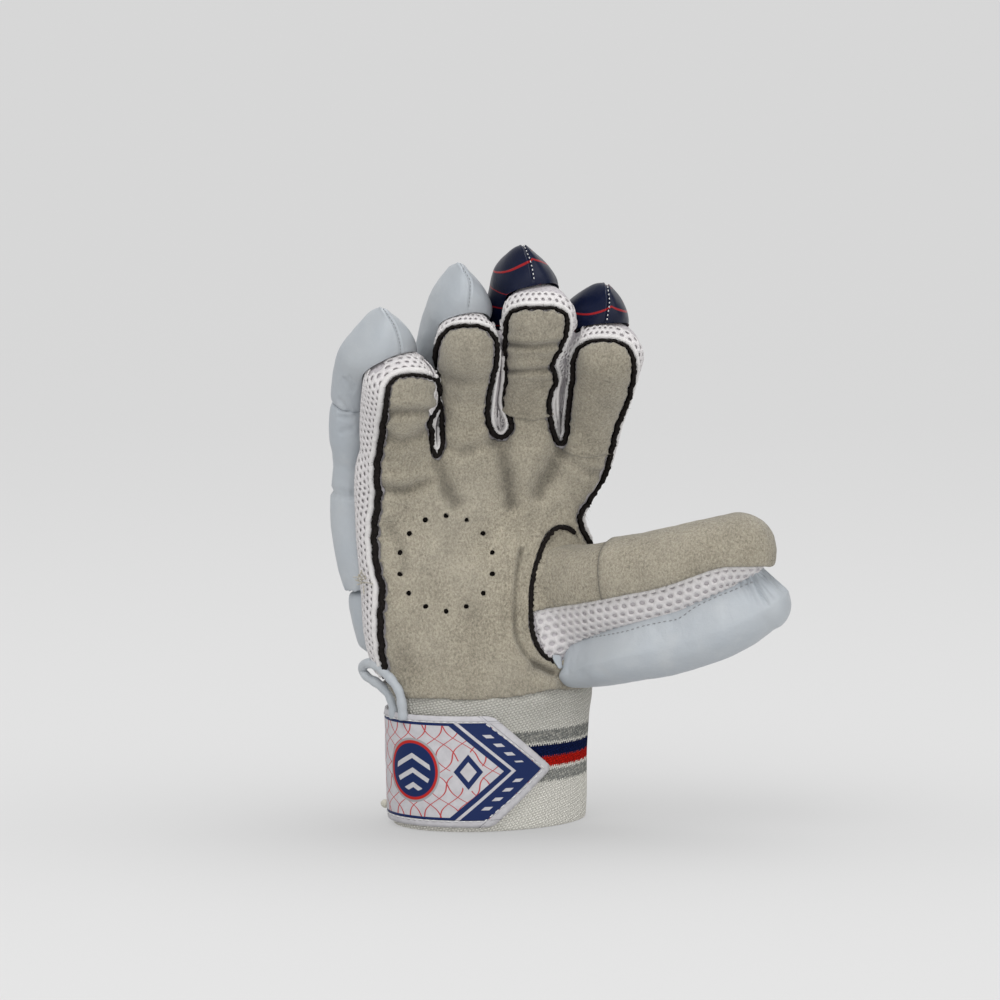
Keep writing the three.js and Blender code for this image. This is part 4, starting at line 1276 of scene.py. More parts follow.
def walk(skin, starts, directions, width, step):
    """Lines over a skin from start points, stepping in a direction that stays on it."""
    places, ups = [starts], []
    here, heading = starts.copy(), directions.copy()
    first = [skin.nearest(p) for p in here]
    ups.append(np.array([f[1] for f in first]))
    for _ in range(int(width / step)):
        ahead = here + heading * step
        found = [skin.nearest(p) for p in ahead]
        place = np.array([f[0] for f in found])
        up = np.array([f[1] for f in found])
        heading = unit(place - here)
        heading = unit(heading - up * (heading * up).sum(1)[:, None])
        heading = unit(smoothed(heading, 3))
        here = place
        places.append(place)
        ups.append(up)
    return np.array(places).transpose(1, 0, 2), np.array(ups).transpose(1, 0, 2)


def net_cells(length, width_at, pitch, hole, start):
    """Flat cells of a net over a strip: points and faces, each cell a hexagon with a hole through it."""
    index, points, faces = {}, [], []

    def corner(s, t):
        key = (round(s, 3), round(t, 3))
        if key not in index:
            index[key] = len(points)
            points.append((s, t))
        return index[key]

    reach = pitch / math.sqrt(3)
    tall = pitch * math.sqrt(3) / 2
    for row in range(int(40 / tall)):
        t = start + row * tall
        for column in range(int(length / pitch) + 1):
            s = (column + 0.5 * (row % 2)) * pitch
            if s > length or t > width_at(s):
                continue
            corners = np.array([(s + reach * math.sin(a), t + reach * math.cos(a)) for a in around(6)])
            outer = []
            for k in range(6):
                outer += [corner(*corners[k]), corner(*((corners[k] + corners[(k + 1) % 6]) / 2))]
            inner = [corner(s + hole[0] * math.sin(a), t + hole[1] * math.cos(a)) for a in around(12)]
            faces += [[outer[k], outer[(k + 1) % 12], inner[(k + 1) % 12], inner[k]] for k in range(12)]
    return np.array(points), faces


class Strip:
    """Lines walked over a skin side by side: a place and a normal for each distance along and across."""

    def __init__(self, places, ups, spacing, step):
        self.places, self.ups = places, ups
        self.spacing, self.step = spacing, step
        self.length = spacing * (len(places) - 1)

    def at(self, flat, lift):
        i = np.clip(flat[:, 0] / self.spacing, 0, self.places.shape[0] - 1.001)
        j = np.clip(flat[:, 1] / self.step, 0, self.places.shape[1] - 1.001)
        i0, j0 = i.astype(int), j.astype(int)
        a, b = (i - i0)[:, None], (j - j0)[:, None]

        def blend(grid):
            return (
                grid[i0, j0] * (1 - a) * (1 - b) + grid[i0 + 1, j0] * a * (1 - b)
                + grid[i0, j0 + 1] * (1 - a) * b + grid[i0 + 1, j0 + 1] * a * b
            )

        ups = unit(blend(self.ups))
        return blend(self.places) + ups * np.asarray(lift).reshape(-1, 1), ups


def used_only(points, faces):
    """Points and faces without the points that no face uses."""
    used = sorted({k for face in faces for k in face})
    place = {k: n for n, k in enumerate(used)}
    return points[used], [[place[k] for k in face] for face in faces]


def unstretched(flat, points, faces, group):
    """The groups of faces that lie on a strip about as large as they were cut."""
    kept = []
    for first in range(0, len(faces), group):
        cell = faces[first:first + group]
        corners = np.array(cell)
        cut = np.linalg.norm(flat[corners[:, 0]] - flat[corners[:, 2]], axis=1)
        laid = np.linalg.norm(points[corners[:, 0]] - points[corners[:, 2]], axis=1)
        if (laid < 1.7 * cut + 0.1).all():
            kept += cell
    return kept


def net_piece(name, strip, width_at, start, net=NET):
    """A net with holes laid over a strip."""
    flat, faces = net_cells(strip.length, width_at, net["pitch"], net["hole"], start)
    points, ups = strip.at(flat, np.full(len(flat), NET["off"]))
    faces = outward_faces(points, unstretched(flat, points, faces, 12), ups)
    made = thicken(piece(name, *used_only(points, faces), NET_FINISH, "mesh_cloth"), NET["thick"])


def hem_piece(name, strip, width_at, rim, low=-0.2):
    """The net's plain puffed hem along the start of a strip."""
    along = np.arange(0, strip.length, 0.6)
    across = np.linspace(0, 1, 9)
    widths = np.array([width_at(s) for s in along])
    flat = np.stack([
        np.broadcast_to(along[:, None], (len(along), 9)), low + (widths[:, None] - low) * across
    ], axis=-1).reshape(-1, 2)
    rise = np.minimum(rim, widths * 0.55)[:, None] * np.sin(math.pi * across) ** 0.6
    puff = ruffle(along, 0.16, 4.6, 8.0)[:, None] * np.sin(math.pi * across)
    lift = (NET["off"] * 0.3 + rise + puff).reshape(-1)
    points, ups = strip.at(flat, lift)
    faces = outward_faces(points, unstretched(flat, points, grid_faces(len(along), 9), 1), ups)
    return thicken(piece(name, *used_only(points, faces), HEM_FINISH, "mesh_cloth"), 0.3)


def room_beside(path, most):
    """How far the rest of a path in the picture is from each of its places, straight out to the left."""
    ahead = unit(smoothed(np.gradient(path, axis=0), 4))
    out = np.column_stack([-ahead[:, 1], ahead[:, 0]])
    a, b = path[:-1], path[1:]
    ab = b - a
    room = np.full(len(path), most)
    for k in range(len(path)):
        across = out[k, 0] * ab[:, 1] - out[k, 1] * ab[:, 0]
        across = np.where(np.abs(across) < 1e-9, 1e-9, across)
        ap = a - path[k]
        t = (ap[:, 0] * ab[:, 1] - ap[:, 1] * ab[:, 0]) / across
        u = (ap[:, 0] * out[k, 1] - ap[:, 1] * out[k, 0]) / across
        hit = (u >= 0) & (u <= 1) & (t > 0.8)
        if hit.any():
            room[k] = min(most, t[hit].min())
    return room


def add_palm_nets(edge_points, path, widths):
    """The white net round the palm leather, from the wrist's left end over each finger to the thumb."""
    spacing, step, most = 1.0, 0.8, 40.0
    room = room_beside(path, most)
    length = along_line(path)
    apart = np.array([
        np.linalg.norm(path[np.abs(length - s) > 25] - place, axis=1).min()
        for s, place in zip(length, path)
    ])
    first_fork = np.argmin(np.linalg.norm(path - np.array(PALM_FINGERS[0]["fork"]), axis=1))
    apart[:first_fork] = most
    line = evenly(np.column_stack([edge_points, room, widths, apart]), spacing)
    room, widths, apart = line[:, 3], line[:, 4], line[:, 5]
    room = np.array([room[max(0, k - 2):k + 3].min() for k in range(len(room))])
    nearest = [hand_skin.nearest(p) for p in line[:, :3]]
    ups = unit(smoothed(np.array([p[1] for p in nearest]), 6))
    line = smoothed(np.array([p[0] for p in nearest]), 4)
    ahead = unit(smoothed(np.gradient(line, axis=0), 6))
    outward = unit(np.cross(ups, ahead))
    if outward[len(outward) // 40] @ np.array([-1.0, 0.0, 0.0]) < 0:
        outward = -outward
    start = line + outward * (widths / 2 + 0.1)[:, None]
    strip = Strip(*walk(hand_skin, start, outward, 26, step), spacing, step)
    gap = (room - widths) / 2
    whole = along_line(line)[-1]
    places = np.arange(len(line)) * spacing
    share = places / whole
    hem = np.where(share < 0.2, NET["hem"] + 0.7, NET["hem"])
    hem = np.minimum(hem, (apart - widths) / 2)
    hem = smoothed(np.where(gap < 1.0, 0.1, np.clip(np.minimum(hem, gap), 0.1, 9)), 2)
    side = np.where(share > 0.86, NET["by_thumb"], np.minimum(NET["side"], apart - 2.5))
    net = np.where(room > 30, side, gap + 1.0)

    def hem_at(s):
        return np.interp(s, places, hem)

    def net_at(s):
        width = np.interp(s, places, net)
        return width if width > NET["hem"] + 1.5 else -1.0

    edge = hem_piece("palm_net_hem", strip, hem_at, NET["rim"])
    net_piece("palm_net", strip, net_at, NET["hem"] + 0.6)


def add_fork_bindings():
    for name, points in FORKS.items():
        places, ups = laid_out(hand_skin, smooth_line(points, 0.5))
        lean = towards(unit(smoothed(ups, 12)), 0.85)
        line = smoothed(places, 10) + lean * 2.5
        tube_piece(f"{name}_binding", line, 0.8, HEM_FINISH, "mesh_cloth", count=12)


# Rolls

def roll_rings(name, rows, count=96, fine=6):
    """Rings of a padded roll, with rounded ends."""
    digit = DIGITS[name]
    rows = np.array(rows, float)
    shares = np.linspace(0, 1, (len(rows) - 1) * fine + 1)
    rows = catmull(rows, shares)
    rows[:, 4:] = np.maximum(rows[:, 4:], 0.02)
    hood = rows[0, 0] > 0.75
    longer, wider = (digit["longer"], digit["wider"]) if hood else (1.0, 1.0)
    at = digit_frame(name, rows[:, 0])
    more = 0 if hood or name == "thumb" else digit["wider"] - 1
    blend = np.clip((rows[:, 0] - 0.5) / 0.25, 0, 1) * more
    half_width = at["half_width"] * rows[:, 4] * wider * (1 + blend * 0.8)
    rings = sections(
        at, around(count), half_width, rows[:, 5],
        along=rows[:, 1] * longer, back=rows[:, 2], aside=rows[:, 3], power=0.84,
    )

    def cap(ring, away, size):
        middle = ring.mean(0)
        return [
            middle + (ring - middle) * k + away * size * d
            for k, d in ((0.93, 0.3), (0.78, 0.6), (0.55, 0.85), (0.28, 0.97), (0.04, 1.0))
        ]

    start = cap(rings[0], unit(rings[0].mean(0) - rings[2].mean(0)), 2.0)[::-1]
    reach = 0.4 if hood or name == "thumb" else 2.0
    end = cap(rings[-1], unit(rings[-1].mean(0) - rings[-3].mean(0)), reach)
    return np.concatenate([np.array(start), rings, np.array(end)])


def ring_uv(rings):
    """Millimetres around from the front, and along, for rings of points."""
    count = rings.shape[1]
    closed = np.concatenate([rings, rings[:, :1]], axis=1)
    steps = np.linalg.norm(np.diff(closed, axis=1), axis=2)
    u = np.concatenate([np.zeros((len(rings), 1)), np.cumsum(steps, axis=1)], axis=1)
    u -= u[:, count // 4][:, None]
    front = rings[:, count // 4]
    return u, np.broadcast_to(along_line(front)[:, None], u.shape)


def pushed_clear(points, skins, gap):
    """Points moved out of the skins that they are inside."""
    points = points.copy()
    for skin in skins:
        for k, point in enumerate(points):
            outside, place, up = skin.depth(point)
            if outside < gap and abs(outside) < 14:
                points[k] = place + up * gap
    return points


def picture_relief(points, ups, lines):
    """Creases drawn in the picture, on the side of a piece that faces the camera."""
    flat = np.column_stack(seen_at(points))
    facing = np.clip(ups @ BACKWARDS * 4 + 0.7, 0, 1)
    height = np.zeros(len(points))
    for line, depth, half in lines:
        away = distance_to(flat, np.array(line, float)) / half
        height += depth * (-np.exp(-(away**2)) + 0.3 * np.exp(-((away - 1.9) ** 2)))
    return height * facing


def roll_piece(
    node, name, rows, material, slot, skins,
    shape=None, gap=0.4, count=96, fine=6, lean=None,
):
    """A padded piece behind a digit, pushed clear of the skins, with its creases and wrinkles."""
    rings = roll_rings(name, rows, count, fine)
    u, v = ring_uv(rings)
    faces = grid_faces(*rings.shape[:2], wrap=True, caps=True)
    points = rings.reshape(-1, 3)
    tris = triangles(faces)
    ups = normals_of(points, tris)
    if (ups * (points - points.mean(0))).sum() < 0:
        ups = -ups
        faces = [face[::-1] for face in faces]
    if lean is not None:
        points = points + lean(points, np.repeat(v[:, 0] / v[-1, 0], rings.shape[1]))
    points = pushed_clear(points, skins, gap)
    points = relax(points, edges_of(tris), 3)
    if node in ROLL_CREASES:
        points = points + ups * picture_relief(points, ups, ROLL_CREASES[node])[:, None]
    if shape is not None:
        height = shape(u[:, :-1], v[:, :-1])
        points = points + ups * height.reshape(-1, 1)
    wrinkles = np.array([
        0.5 * noise.noise(Vector(p / 16)) + 0.16 * noise.noise(Vector(p / 5)) for p in points
    ])
    points = points + ups * wrinkles[:, None]
    uv = grid_uv(u, v, caps=True)
    if faces[0][0] != 0:
        uv = uv_reversed(uv, faces)
    made = piece(f"{node}_padding", points, faces, material, slot, (node,), uv=uv)
    return Skin(points, faces)


def uv_reversed(uv, faces):
    """Corner coordinates for faces whose corners were turned round."""
    turned_round, first = [], 0
    for face in faces:
        turned_round.append(uv[first:first + len(face)][::-1])
        first += len(face)
    return np.concatenate(turned_round)


def groove(value, half):
    return np.exp(-((value / half) ** 2))


def hood_shape(u, v):
    """Small gathers round a hood's foot."""
    return 0.4 * np.sin(u * 2.1) * groove(v - 2.5, 3.5)


def roll_shape(u, v):
    """A finger roll's bending seam, and the gathers at its ends."""
    end = v[-1, 0]
    seam = -1.3 * groove(v - end * 0.5, 1.2)
    near = groove(v - 3, 4) + groove(v - end + 3, 5) + 0.5 * groove(v - end * 0.5, 3.5)
    return seam + 0.4 * np.sin(u * 1.7) * near


def hood_lean(name):
    """What draws a hood's end out to its peak."""
    right, up = HOOD_LEAN[name]

    def lean(_, share):
        weight = np.clip((share - 0.4) / 0.6, 0, 1) ** 2
        middle = HOOD_SHIFT[name] * np.exp(-(((share - 0.62) / 0.2) ** 2))
        return (RIGHT * right + UP * up) * weight[:, None] + RIGHT * middle[:, None]
    return lean


def seam_relief(skin, line):
    """A skin's points with a stitched seam sunk along a line of the picture."""
    seam = ([tuple(place) for place in smooth_line(line, 1.0)], 0.7, 0.5)
    return skin.points + skin.normals * picture_relief(skin.points, skin.normals, [seam])[:, None]


def add_seam(name, skin, line, thread, length, gap, radius, slot, beside_seam=0.0):
    """A row of stitches along a line of the picture."""
    places, ups = laid_out(skin, beside(smooth_line(line, 0.5), beside_seam))
    stitches(name, places, unit(smoothed(ups, 4)), length, gap, radius, thread, slot)


def add_rolls(skins):
    for name in FINGERS:
        dark = name in ("middle", "index")
        material, slot = (NAVY_LEATHER, "navy_leather") if dark else (LEATHER, "white_leather")
        hood = roll_piece(
            f"{name}_hood", name, HOOD, material, slot, skins, hood_shape, 1.3, 144, 10,
            hood_lean(name),
        )
        seam = HOOD_SEAMS[name]
        points = seam_relief(hood, seam)
        mesh = bpy.data.objects[f"{name}_hood_padding"].data
        mesh.vertices.foreach_set("co", ((points + SHIFT) * MM).ravel())
        hood = Skin(points, hood.faces)
        if dark:
            add_seam(f"{name}_hood_stitches", hood, seam, WHITE_THREAD, 0.7, 1.0, 0.26, slot, 0.5)
        else:
            add_seam(f"{name}_hood_stitches", hood, seam, GREY_THREAD, 1.1, 0.5, 0.14, slot)
        roll_piece(f"{name}_roll", name, FINGER_ROLL, LEATHER, "white_leather", skins, roll_shape, fine=9)
        pad = HAND_PAD
        if name == "little":
            pad = [
                [share * 1.06, along, back, 2.0, wide - 0.16, half]
                for share, along, back, _, wide, half in HAND_PAD
            ]
        roll_piece(f"{name}_hand_pad", name, pad, LEATHER, "white_leather", skins)


def drawn_out(points, _):
    """What squares the left end of the thumb's roll, beside the palm, and fills out its right end."""
    x, z = seen_at(points)
    left = np.clip((44 - x) / 14, 0, 1) * np.clip(-5 + 0.72 * (76 - z), -5, 3.6)
    right = np.clip((x - 100) / 14, 0, 1) * np.clip((z - 100) / 8, 0, 1) * 1.2
    return RIGHT * (left + right)[:, None]


def add_thumb(skins):
    roll = roll_piece(
        "thumb_roll", "thumb", THUMB_ROLL, LEATHER, "white_leather", skins, None, 0.4, 176, 15,
        drawn_out,
    )
    add_seam("thumb_roll_stitches", roll, THUMB_STITCHES, GREY_THREAD, 1.3, 1.1, 0.24, "white_leather")
    outline = evenly(THUMB_FOLD, 0.7, closed=True)
    laid_sheet("thumb_roll_fold", joined_skin, outline, [], 4.2, LEATHER, "white_leather", (), 0.9, 0.3)


def seen_at(points):
    """Where points appear in the camera's picture."""
    away = points - EYE
    depth = -(away @ BACKWARDS)
    scale = CAMERA["distance"] / depth
    return CAMERA["x"] + (away @ RIGHT) * scale, CAMERA["z"] + (away @ UP) * scale


def thumb_rows(shares, angles, off):
    """Points on the thumb, past its end where a share is over 1; angles is a grid or a row of them."""
    at = digit_frame("thumb", shares)
    lean = np.radians(np.clip((shares - 1) / 0.2, 0, 1) * 89)
    middle = at["place"] + at["along"] * ((TIP_LENGTH + off) * np.sin(lean))[:, None]
    angles = np.broadcast_to(angles, (len(shares), np.shape(angles)[-1]))
    across = ((at["half_width"] + off) * np.cos(lean))[:, None] * swell(np.cos(angles), 0.85)
    deep = ((at["half_depth"] + off) * np.cos(lean))[:, None] * swell(np.sin(angles), 0.85)
    sideways = at["side"][:, None] * across[..., None]
    return middle[:, None] + sideways + at["front"][:, None] * deep[..., None], middle


def thumb_line(line, shares, off):
    """The angle round the thumb, at each share, where the camera sees a line cross it."""
    angles = np.radians(np.arange(-110, 70, 1.0))
    points, _ = thumb_rows(shares, angles, off)
    x, z = seen_at(points)
    line = np.array(line)
    above = z - np.interp(x, line[:, 0], line[:, 1])
    found = []
    for row in above:
        below = np.nonzero(row < 0)[0]
        k = min(below[-1] if len(below) else 0, len(angles) - 2)
        part = np.clip(-row[k] / max(row[k + 1] - row[k], 1e-6), 0, 1)
        found.append(angles[k] + part * (angles[k + 1] - angles[k]))
    return smoothed(np.array(found), 6)


def add_thumb_foot():
    """What shows inside the arc: the suede of the thumb's base, and the cloth under the net."""
    arc = beside(smooth_line(THUMB_ARC[:-1], 0.9), -0.5)
    line = smooth_line(THUMB_SUEDE_LINE, 0.9)
    line = line[(line[:, 0] > 17.8) & (line[:, 0] < 40)]
    split = np.argmin(np.abs(arc[:, 1] - line[0, 1]))
    over = [(41, 108), (40, 119)]
    outline = evenly(np.vstack([arc[:split], line, over]), 0.9, closed=True)
    laid_sheet(
        "thumb_foot_suede", joined_skin, outline, [], PILE + SUEDE, SUEDE_FINISH, "suede",
        ("thumb_base_leather",), SUEDE,
    )
    under = [(36, 70), (40, 80), (40, 97)]
    outline = evenly(np.vstack([arc[split - 4:], under, line[::-1][:1]]), 0.9, closed=True)
    laid_sheet(
        "thumb_foot_cloth", joined_skin, outline, [], 0.2, CLOTH, "mesh_cloth", (), 0.8, 0.2,
    )


def add_thumb_suede():
    count, columns = THUMB_GRID
    rows = np.arange(count)
    for name, node, start, end, off in (
        ("thumb_base_suede", "thumb_base_leather", 0.16, 0.47, PILE + SUEDE + 0.2),
        ("thumb_tip_suede", "thumb_tip_leather", 0.42, 1.2, PILE + SUEDE + OVERLAY + 0.4),
    ):
        tip = name == "thumb_tip_suede"
        shares = np.linspace(start, end, count)
        low = thumb_line(THUMB_SUEDE_LINE, shares, off)
        angles = low[:, None] + (math.radians(200) - low[:, None]) * np.linspace(0, 1, columns)
        grid, middle = thumb_rows(shares, angles, off)
        if tip:
            slant = np.interp(np.arange(columns), [0, 45, 60], [-2.4, 2.6, 2.6])[None, :]
            slant = slant * np.exp(-((rows / 12) ** 2))[:, None]
            grid = grid + digit_frame("thumb", shares)["along"][:, None] * slant[..., None]
        points = grid.reshape(-1, 3)
        faces = grid_faces(*grid.shape[:2])
        ups = normals_of(points, triangles(faces))
        if (ups * (points - np.repeat(middle, grid.shape[1], axis=0))).sum() < 0:
            ups = -ups
            faces = [face[::-1] for face in faces]
        bumps = np.array([
            0.6 * noise.noise(Vector(p / 13)) + 0.3 * noise.noise(Vector(p / 5)) for p in points
        ]).reshape(grid.shape[:2])
        bumps -= 0.5 * np.exp(-((np.linspace(0, 1, columns) * 50) ** 2))[None, :]
        if not tip:
            bumps -= 1.6 * np.exp(-((rows / 8) ** 2))[:, None]
            bumps -= 0.8 * np.exp(-(((shares - 0.425) / 0.012) ** 2))[:, None]
        points = points + ups * bumps.reshape(-1, 1)
        made = piece(name, points, faces, SUEDE_FINISH, "suede", (node,))
        # Painted shade: a dark line along the edge of the tip piece that lies over the base piece, and a
        # faint band on the base piece under that edge.
        shade = np.exp(-rows / 1.2) if tip else 0.35 * np.exp(-(((rows - 102) / 5) ** 2))
        shade_folds(made, np.repeat(shade, columns))
        thicken(made, SUEDE)


def add_thumb_net():
    """The net from the arc to the thumb's end, between the suede and the roll."""
    spacing, step = 1.0, 0.8
    line = smooth_line(THUMB_SUEDE_LINE, 0.8)
    line = line[(line[:, 0] > 17.9) & (line[:, 0] < 122)]
    roll = np.array(THUMB_ROLL_LINE)
    drop = line[:, 1] - np.interp(line[:, 0], roll[:, 0], roll[:, 1])
    places, ups = laid_out(joined_skin, line + np.array([0, 0.8]))
    rows = evenly(np.column_stack([smoothed(places, 4), unit(smoothed(ups, 10)), drop]), spacing)
    nearest = [joined_skin.nearest(p) for p in rows[:, :3]]
    start = smoothed(np.array([p[0] for p in nearest]), 3)
    ups = unit(smoothed(np.array([p[1] for p in nearest]), 6))
    ahead = unit(smoothed(np.gradient(start, axis=0), 6))
    down = unit(np.cross(ups, ahead))
    if down[:, 2].mean() > 0:
        down = -down
    strip = Strip(*walk(joined_skin, start, down, 26, step), spacing, step)
    places = np.arange(len(start)) * spacing

    def net_at(s):
        return np.interp(s, places, rows[:, 6] * 1.1 + 3.5)

    edge = hem_piece("thumb_net_hem", strip, lambda s: 2.0, 0.6)
    net_piece("thumb_net", strip, net_at, 1.6, THUMB_NET)


# The wrist

def cuff_point(degrees, z, grow):
    """A place round the wristband, which widens with the hand above its own height."""
    angle = np.radians(degrees)
    share = np.clip((z - HAND_SECTIONS[0][0]) / (HAND_SECTIONS[1][0] - HAND_SECTIONS[0][0]), 0, 1)
    wider = (CUFF["half_width_high"] - CUFF["half_width_low"]) * np.minimum(z / CUFF["height"], 1)
    half_width = CUFF["half_width_low"] + wider + 4.3 * share + grow
    half_depth = CUFF["half_depth"] - 3.2 * share + grow
    return np.stack([
        half_width * np.cos(angle) - 1.5 * share, -half_depth * np.sin(angle), z + 0 * angle
    ], -1)


def cuff_lengths():
    """Angles round the wristband and the length along its outside up to each."""
    degrees = np.linspace(0, 360, 1441)
    line = cuff_point(degrees, np.full(len(degrees), CUFF["height"] / 2), 1.0)
    return degrees, along_line(line)


def add_wristband():
    degrees, lengths = cuff_lengths()
    count = 720
    turn = np.linspace(0, lengths[-1], count + 1)
    angles = np.interp(turn, lengths, degrees)
    wall, height = CUFF["wall"], CUFF["height"] + GATHER
    low, high = 1.8, height - 1.8
    profile = [
        (-0.9, 0.0), (-0.3, 0.25), (-0.1, 0.9), *[(0.0, z) for z in np.linspace(low, high, 40)],
        (-0.3, height - 0.3), (-wall / 2, height), *[(-wall, z) for z in np.linspace(high, low, 12)],
        (-wall + 0.4, 0.2),
    ]
    rings = []
    for grow, z in profile:
        shown = float(grow > -0.5)
        rib = 0.12 * np.cos(turn / 0.84 * math.pi) * shown
        slack = 0.3 * np.sin(turn / 9 + z / 7) * math.sin(math.pi * z / height) * shown
        bulge = 0.7 * math.exp(-(((z - CUFF["height"]) / 6) ** 2)) * (1 + 0.6 * np.sin(turn / 3.3)) * shown
        rings.append(cuff_point(angles, z + 0 * turn, grow + rib + slack + bulge - 0.2))
    rings = np.array(rings)[:, :-1]
    rows, columns = rings.shape[:2]
    faces = grid_faces(rows, columns, wrap=True)
    last = (rows - 1) * columns
    faces += [
        [last + k, last + (k + 1) % columns, (k + 1) % columns, k] for k in range(columns)
    ]
    u = np.broadcast_to(turn[None, :], (rows + 1, columns + 1))
    heights = np.array([z for _, z in profile] + [profile[0][1]])
    v = np.broadcast_to(heights[:, None], u.shape)
    points = rings.reshape(-1, 3)
    middle = np.array([0, 0, height / 2])
    outer = normals_of(points, triangles(faces))
    uv = grid_uv(u, v)
    mid_row = 20 * columns
    if outer[mid_row] @ (points[mid_row] - middle) < 0:
        faces = [face[::-1] for face in faces]
        uv = uv_reversed(uv, faces)
    made = piece("wristband_knit", points, faces, ELASTIC, "elastic", ("wristband",), uv=uv)


def add_strap():
    degrees, lengths = cuff_lengths()
    start, shoulder, end = (np.interp(STRAP[k], degrees, lengths) for k in ("point", "shoulder", "end"))
    middle = (STRAP["low"] + STRAP["high"]) / 2
    half = (STRAP["high"] - STRAP["low"]) / 2
    point_length = shoulder - start
    tip = 1.2
    upper = [
        (tip * point_length / half, tip), (point_length - 1.5, half - 0.9), (point_length + 1.5, half),
        (end - start, half),
    ]
    outline = evenly(upper + [(s, -t) for s, t in upper[::-1]], 1.0, closed=True)
    flat, tris = flat_mesh(outline, 1.3)
    grow = STRAP["off"] + STRAP["thick"]
    sag = np.array([0.35 * noise.noise(Vector((s / 14, t / 11, 2.0))) for s, t in flat])
    closeness = distance_to(flat, ring_of(outline))
    sag -= 0.35 * np.exp(-((closeness / 0.9) ** 2))
    angles = np.interp(flat[:, 0] + start, lengths, degrees)
    points = cuff_point(angles, middle + flat[:, 1], grow + sag)
    outward = points - np.array([0, 0, middle])
    tris = facing_out(points, tris, outward * np.array([1, 1, 0]))
    printed = strap_material(point_length, half)
    made = piece(
        "strap_band", points, tris.tolist(), printed, "strap", ("strap",), uv=flat[tris.ravel()],
    )
    thicken(made, STRAP["thick"] * 0.9)
    return start, point_length, half, middle


def tube(points, radius, count=14, twist=0.0):
    """Rings of a round roll along a line."""
    ahead = unit(np.gradient(points, axis=0))
    side = unit(np.cross(ahead, np.array([0.2, 0.9, 0.3])))
    up = np.cross(ahead, side)
    angles = around(count)[None, :] + twist
    size = np.broadcast_to(np.asarray(radius, float).reshape(-1, 1), (len(points), 1))
    return (
        points[:, None]
        + side[:, None] * (np.cos(angles) * size)[..., None]
        + up[:, None] * (np.sin(angles) * size)[..., None]
    )


def tube_piece(name, points, radius, material, slot, stands_for=(), count=14):
    rings = tube(points, radius, count)
    faces = grid_faces(*rings.shape[:2], wrap=True, caps=True)
    corners = rings.reshape(-1, 3)
    faces = outward_faces(corners, faces, corners - np.repeat(points, count, axis=0))
    return piece(name, corners, faces, material, slot, stands_for)


def add_loop():
    line = np.array([on_sight(*place) for place in smooth_line(LOOP, 0.6)])
    length = along_line(line)
    radius = 2.0 + 0.12 * np.sin(length * 1.1) + 0.1 * np.sin(length * 0.37)
    tube_piece("wrist_loop_piping", line, radius, LEATHER, "white_leather", ("wrist_loop",), 20)


def add_tab():
    """The end of a woven tab that peeps out behind the strap, low on the left."""
    line = smooth_line([on_sight(x, z, depth) for x, z, depth in TAB], 0.5)
    share = np.clip(np.linspace(0, 1, len(line)), 0.03, 0.97)
    tube_piece("strap_tab", line, 1.9 * np.sin(share * math.pi) ** 0.45, ELASTIC_TAB, "elastic")


def add_tufts():
    """Loose threads where the little finger's roll meets its pad."""
    random = np.random.default_rng(9)
    for n in range(14):
        x = TUFT["x"] + random.uniform(-1.2, 1.2)
        z = TUFT["z"] + random.uniform(-2.6, 2.6)
        start = on_sight(x, z, TUFT["depth"])
        heading = RIGHT * random.normal(0, 1) + UP * random.normal(0, 0.8)
        heading = unit(heading + BACKWARDS * random.uniform(0.3, 1.2))
        bend = RIGHT * random.normal(0, 0.8) + UP * random.normal(0, 0.8)
        s = np.linspace(0, 1, 9)[:, None]
        line = start + heading * s * random.uniform(2, 4.2) + bend * (s**2) * 1.6
        tube_piece(f"loose_thread_{n}", line, 0.23, TUFT_THREAD, "white_leather", count=6)


# Stitches

def stitches(name, points, ups, length, gap, radius, material, slot, lift=0.0):
    """Small threads laid end to end along a line."""
    fine = evenly(np.hstack([points, ups]), 0.25)
    places, ups = fine[:, :3], unit(fine[:, 3:])
    distance = along_line(places)
    flats, faces, first = [], [], 0
    start = gap
    while start + length < distance[-1]:
        span = np.linspace(start, start + length, 6)
        line = at_lengths(span, distance, places)
        up = unit(at_lengths(span, distance, ups))
        arc = np.sin(np.linspace(0, math.pi, 6))
        line = line + up * (lift + radius * (arc - 0.3))[:, None]
        rings = tube(line, radius * (0.55 + 0.45 * arc), 6)
        flats.append(rings.reshape(-1, 3))
        faces += grid_faces(6, 6, wrap=True, caps=True, first=first)
        first += 36
        start += length + gap
    return piece(name, np.concatenate(flats), faces, material, slot)


def add_strap_stitches(start, point_length, half, middle):
    degrees, lengths = cuff_lengths()
    inset = 2.6
    slope = point_length / half
    back = inset * math.hypot(1, slope)
    corner = point_length + 3.0
    reach, rise = 125, half - inset
    flat = evenly([(reach, rise), (corner, rise), (back, 0), (corner, -rise), (reach, -rise)], 0.5)
    angles = np.interp(flat[:, 0] + start, lengths, degrees)
    grow = STRAP["off"] + STRAP["thick"]
    points = cuff_point(angles, middle + flat[:, 1], grow - 0.1)
    ups = unit((points - np.array([0, 0, middle])) * np.array([0.45, 1, 0]))
    stitches("strap_stitches", points, ups, 2.2, 0.9, 0.28, WHITE_THREAD, "strap")


# The room

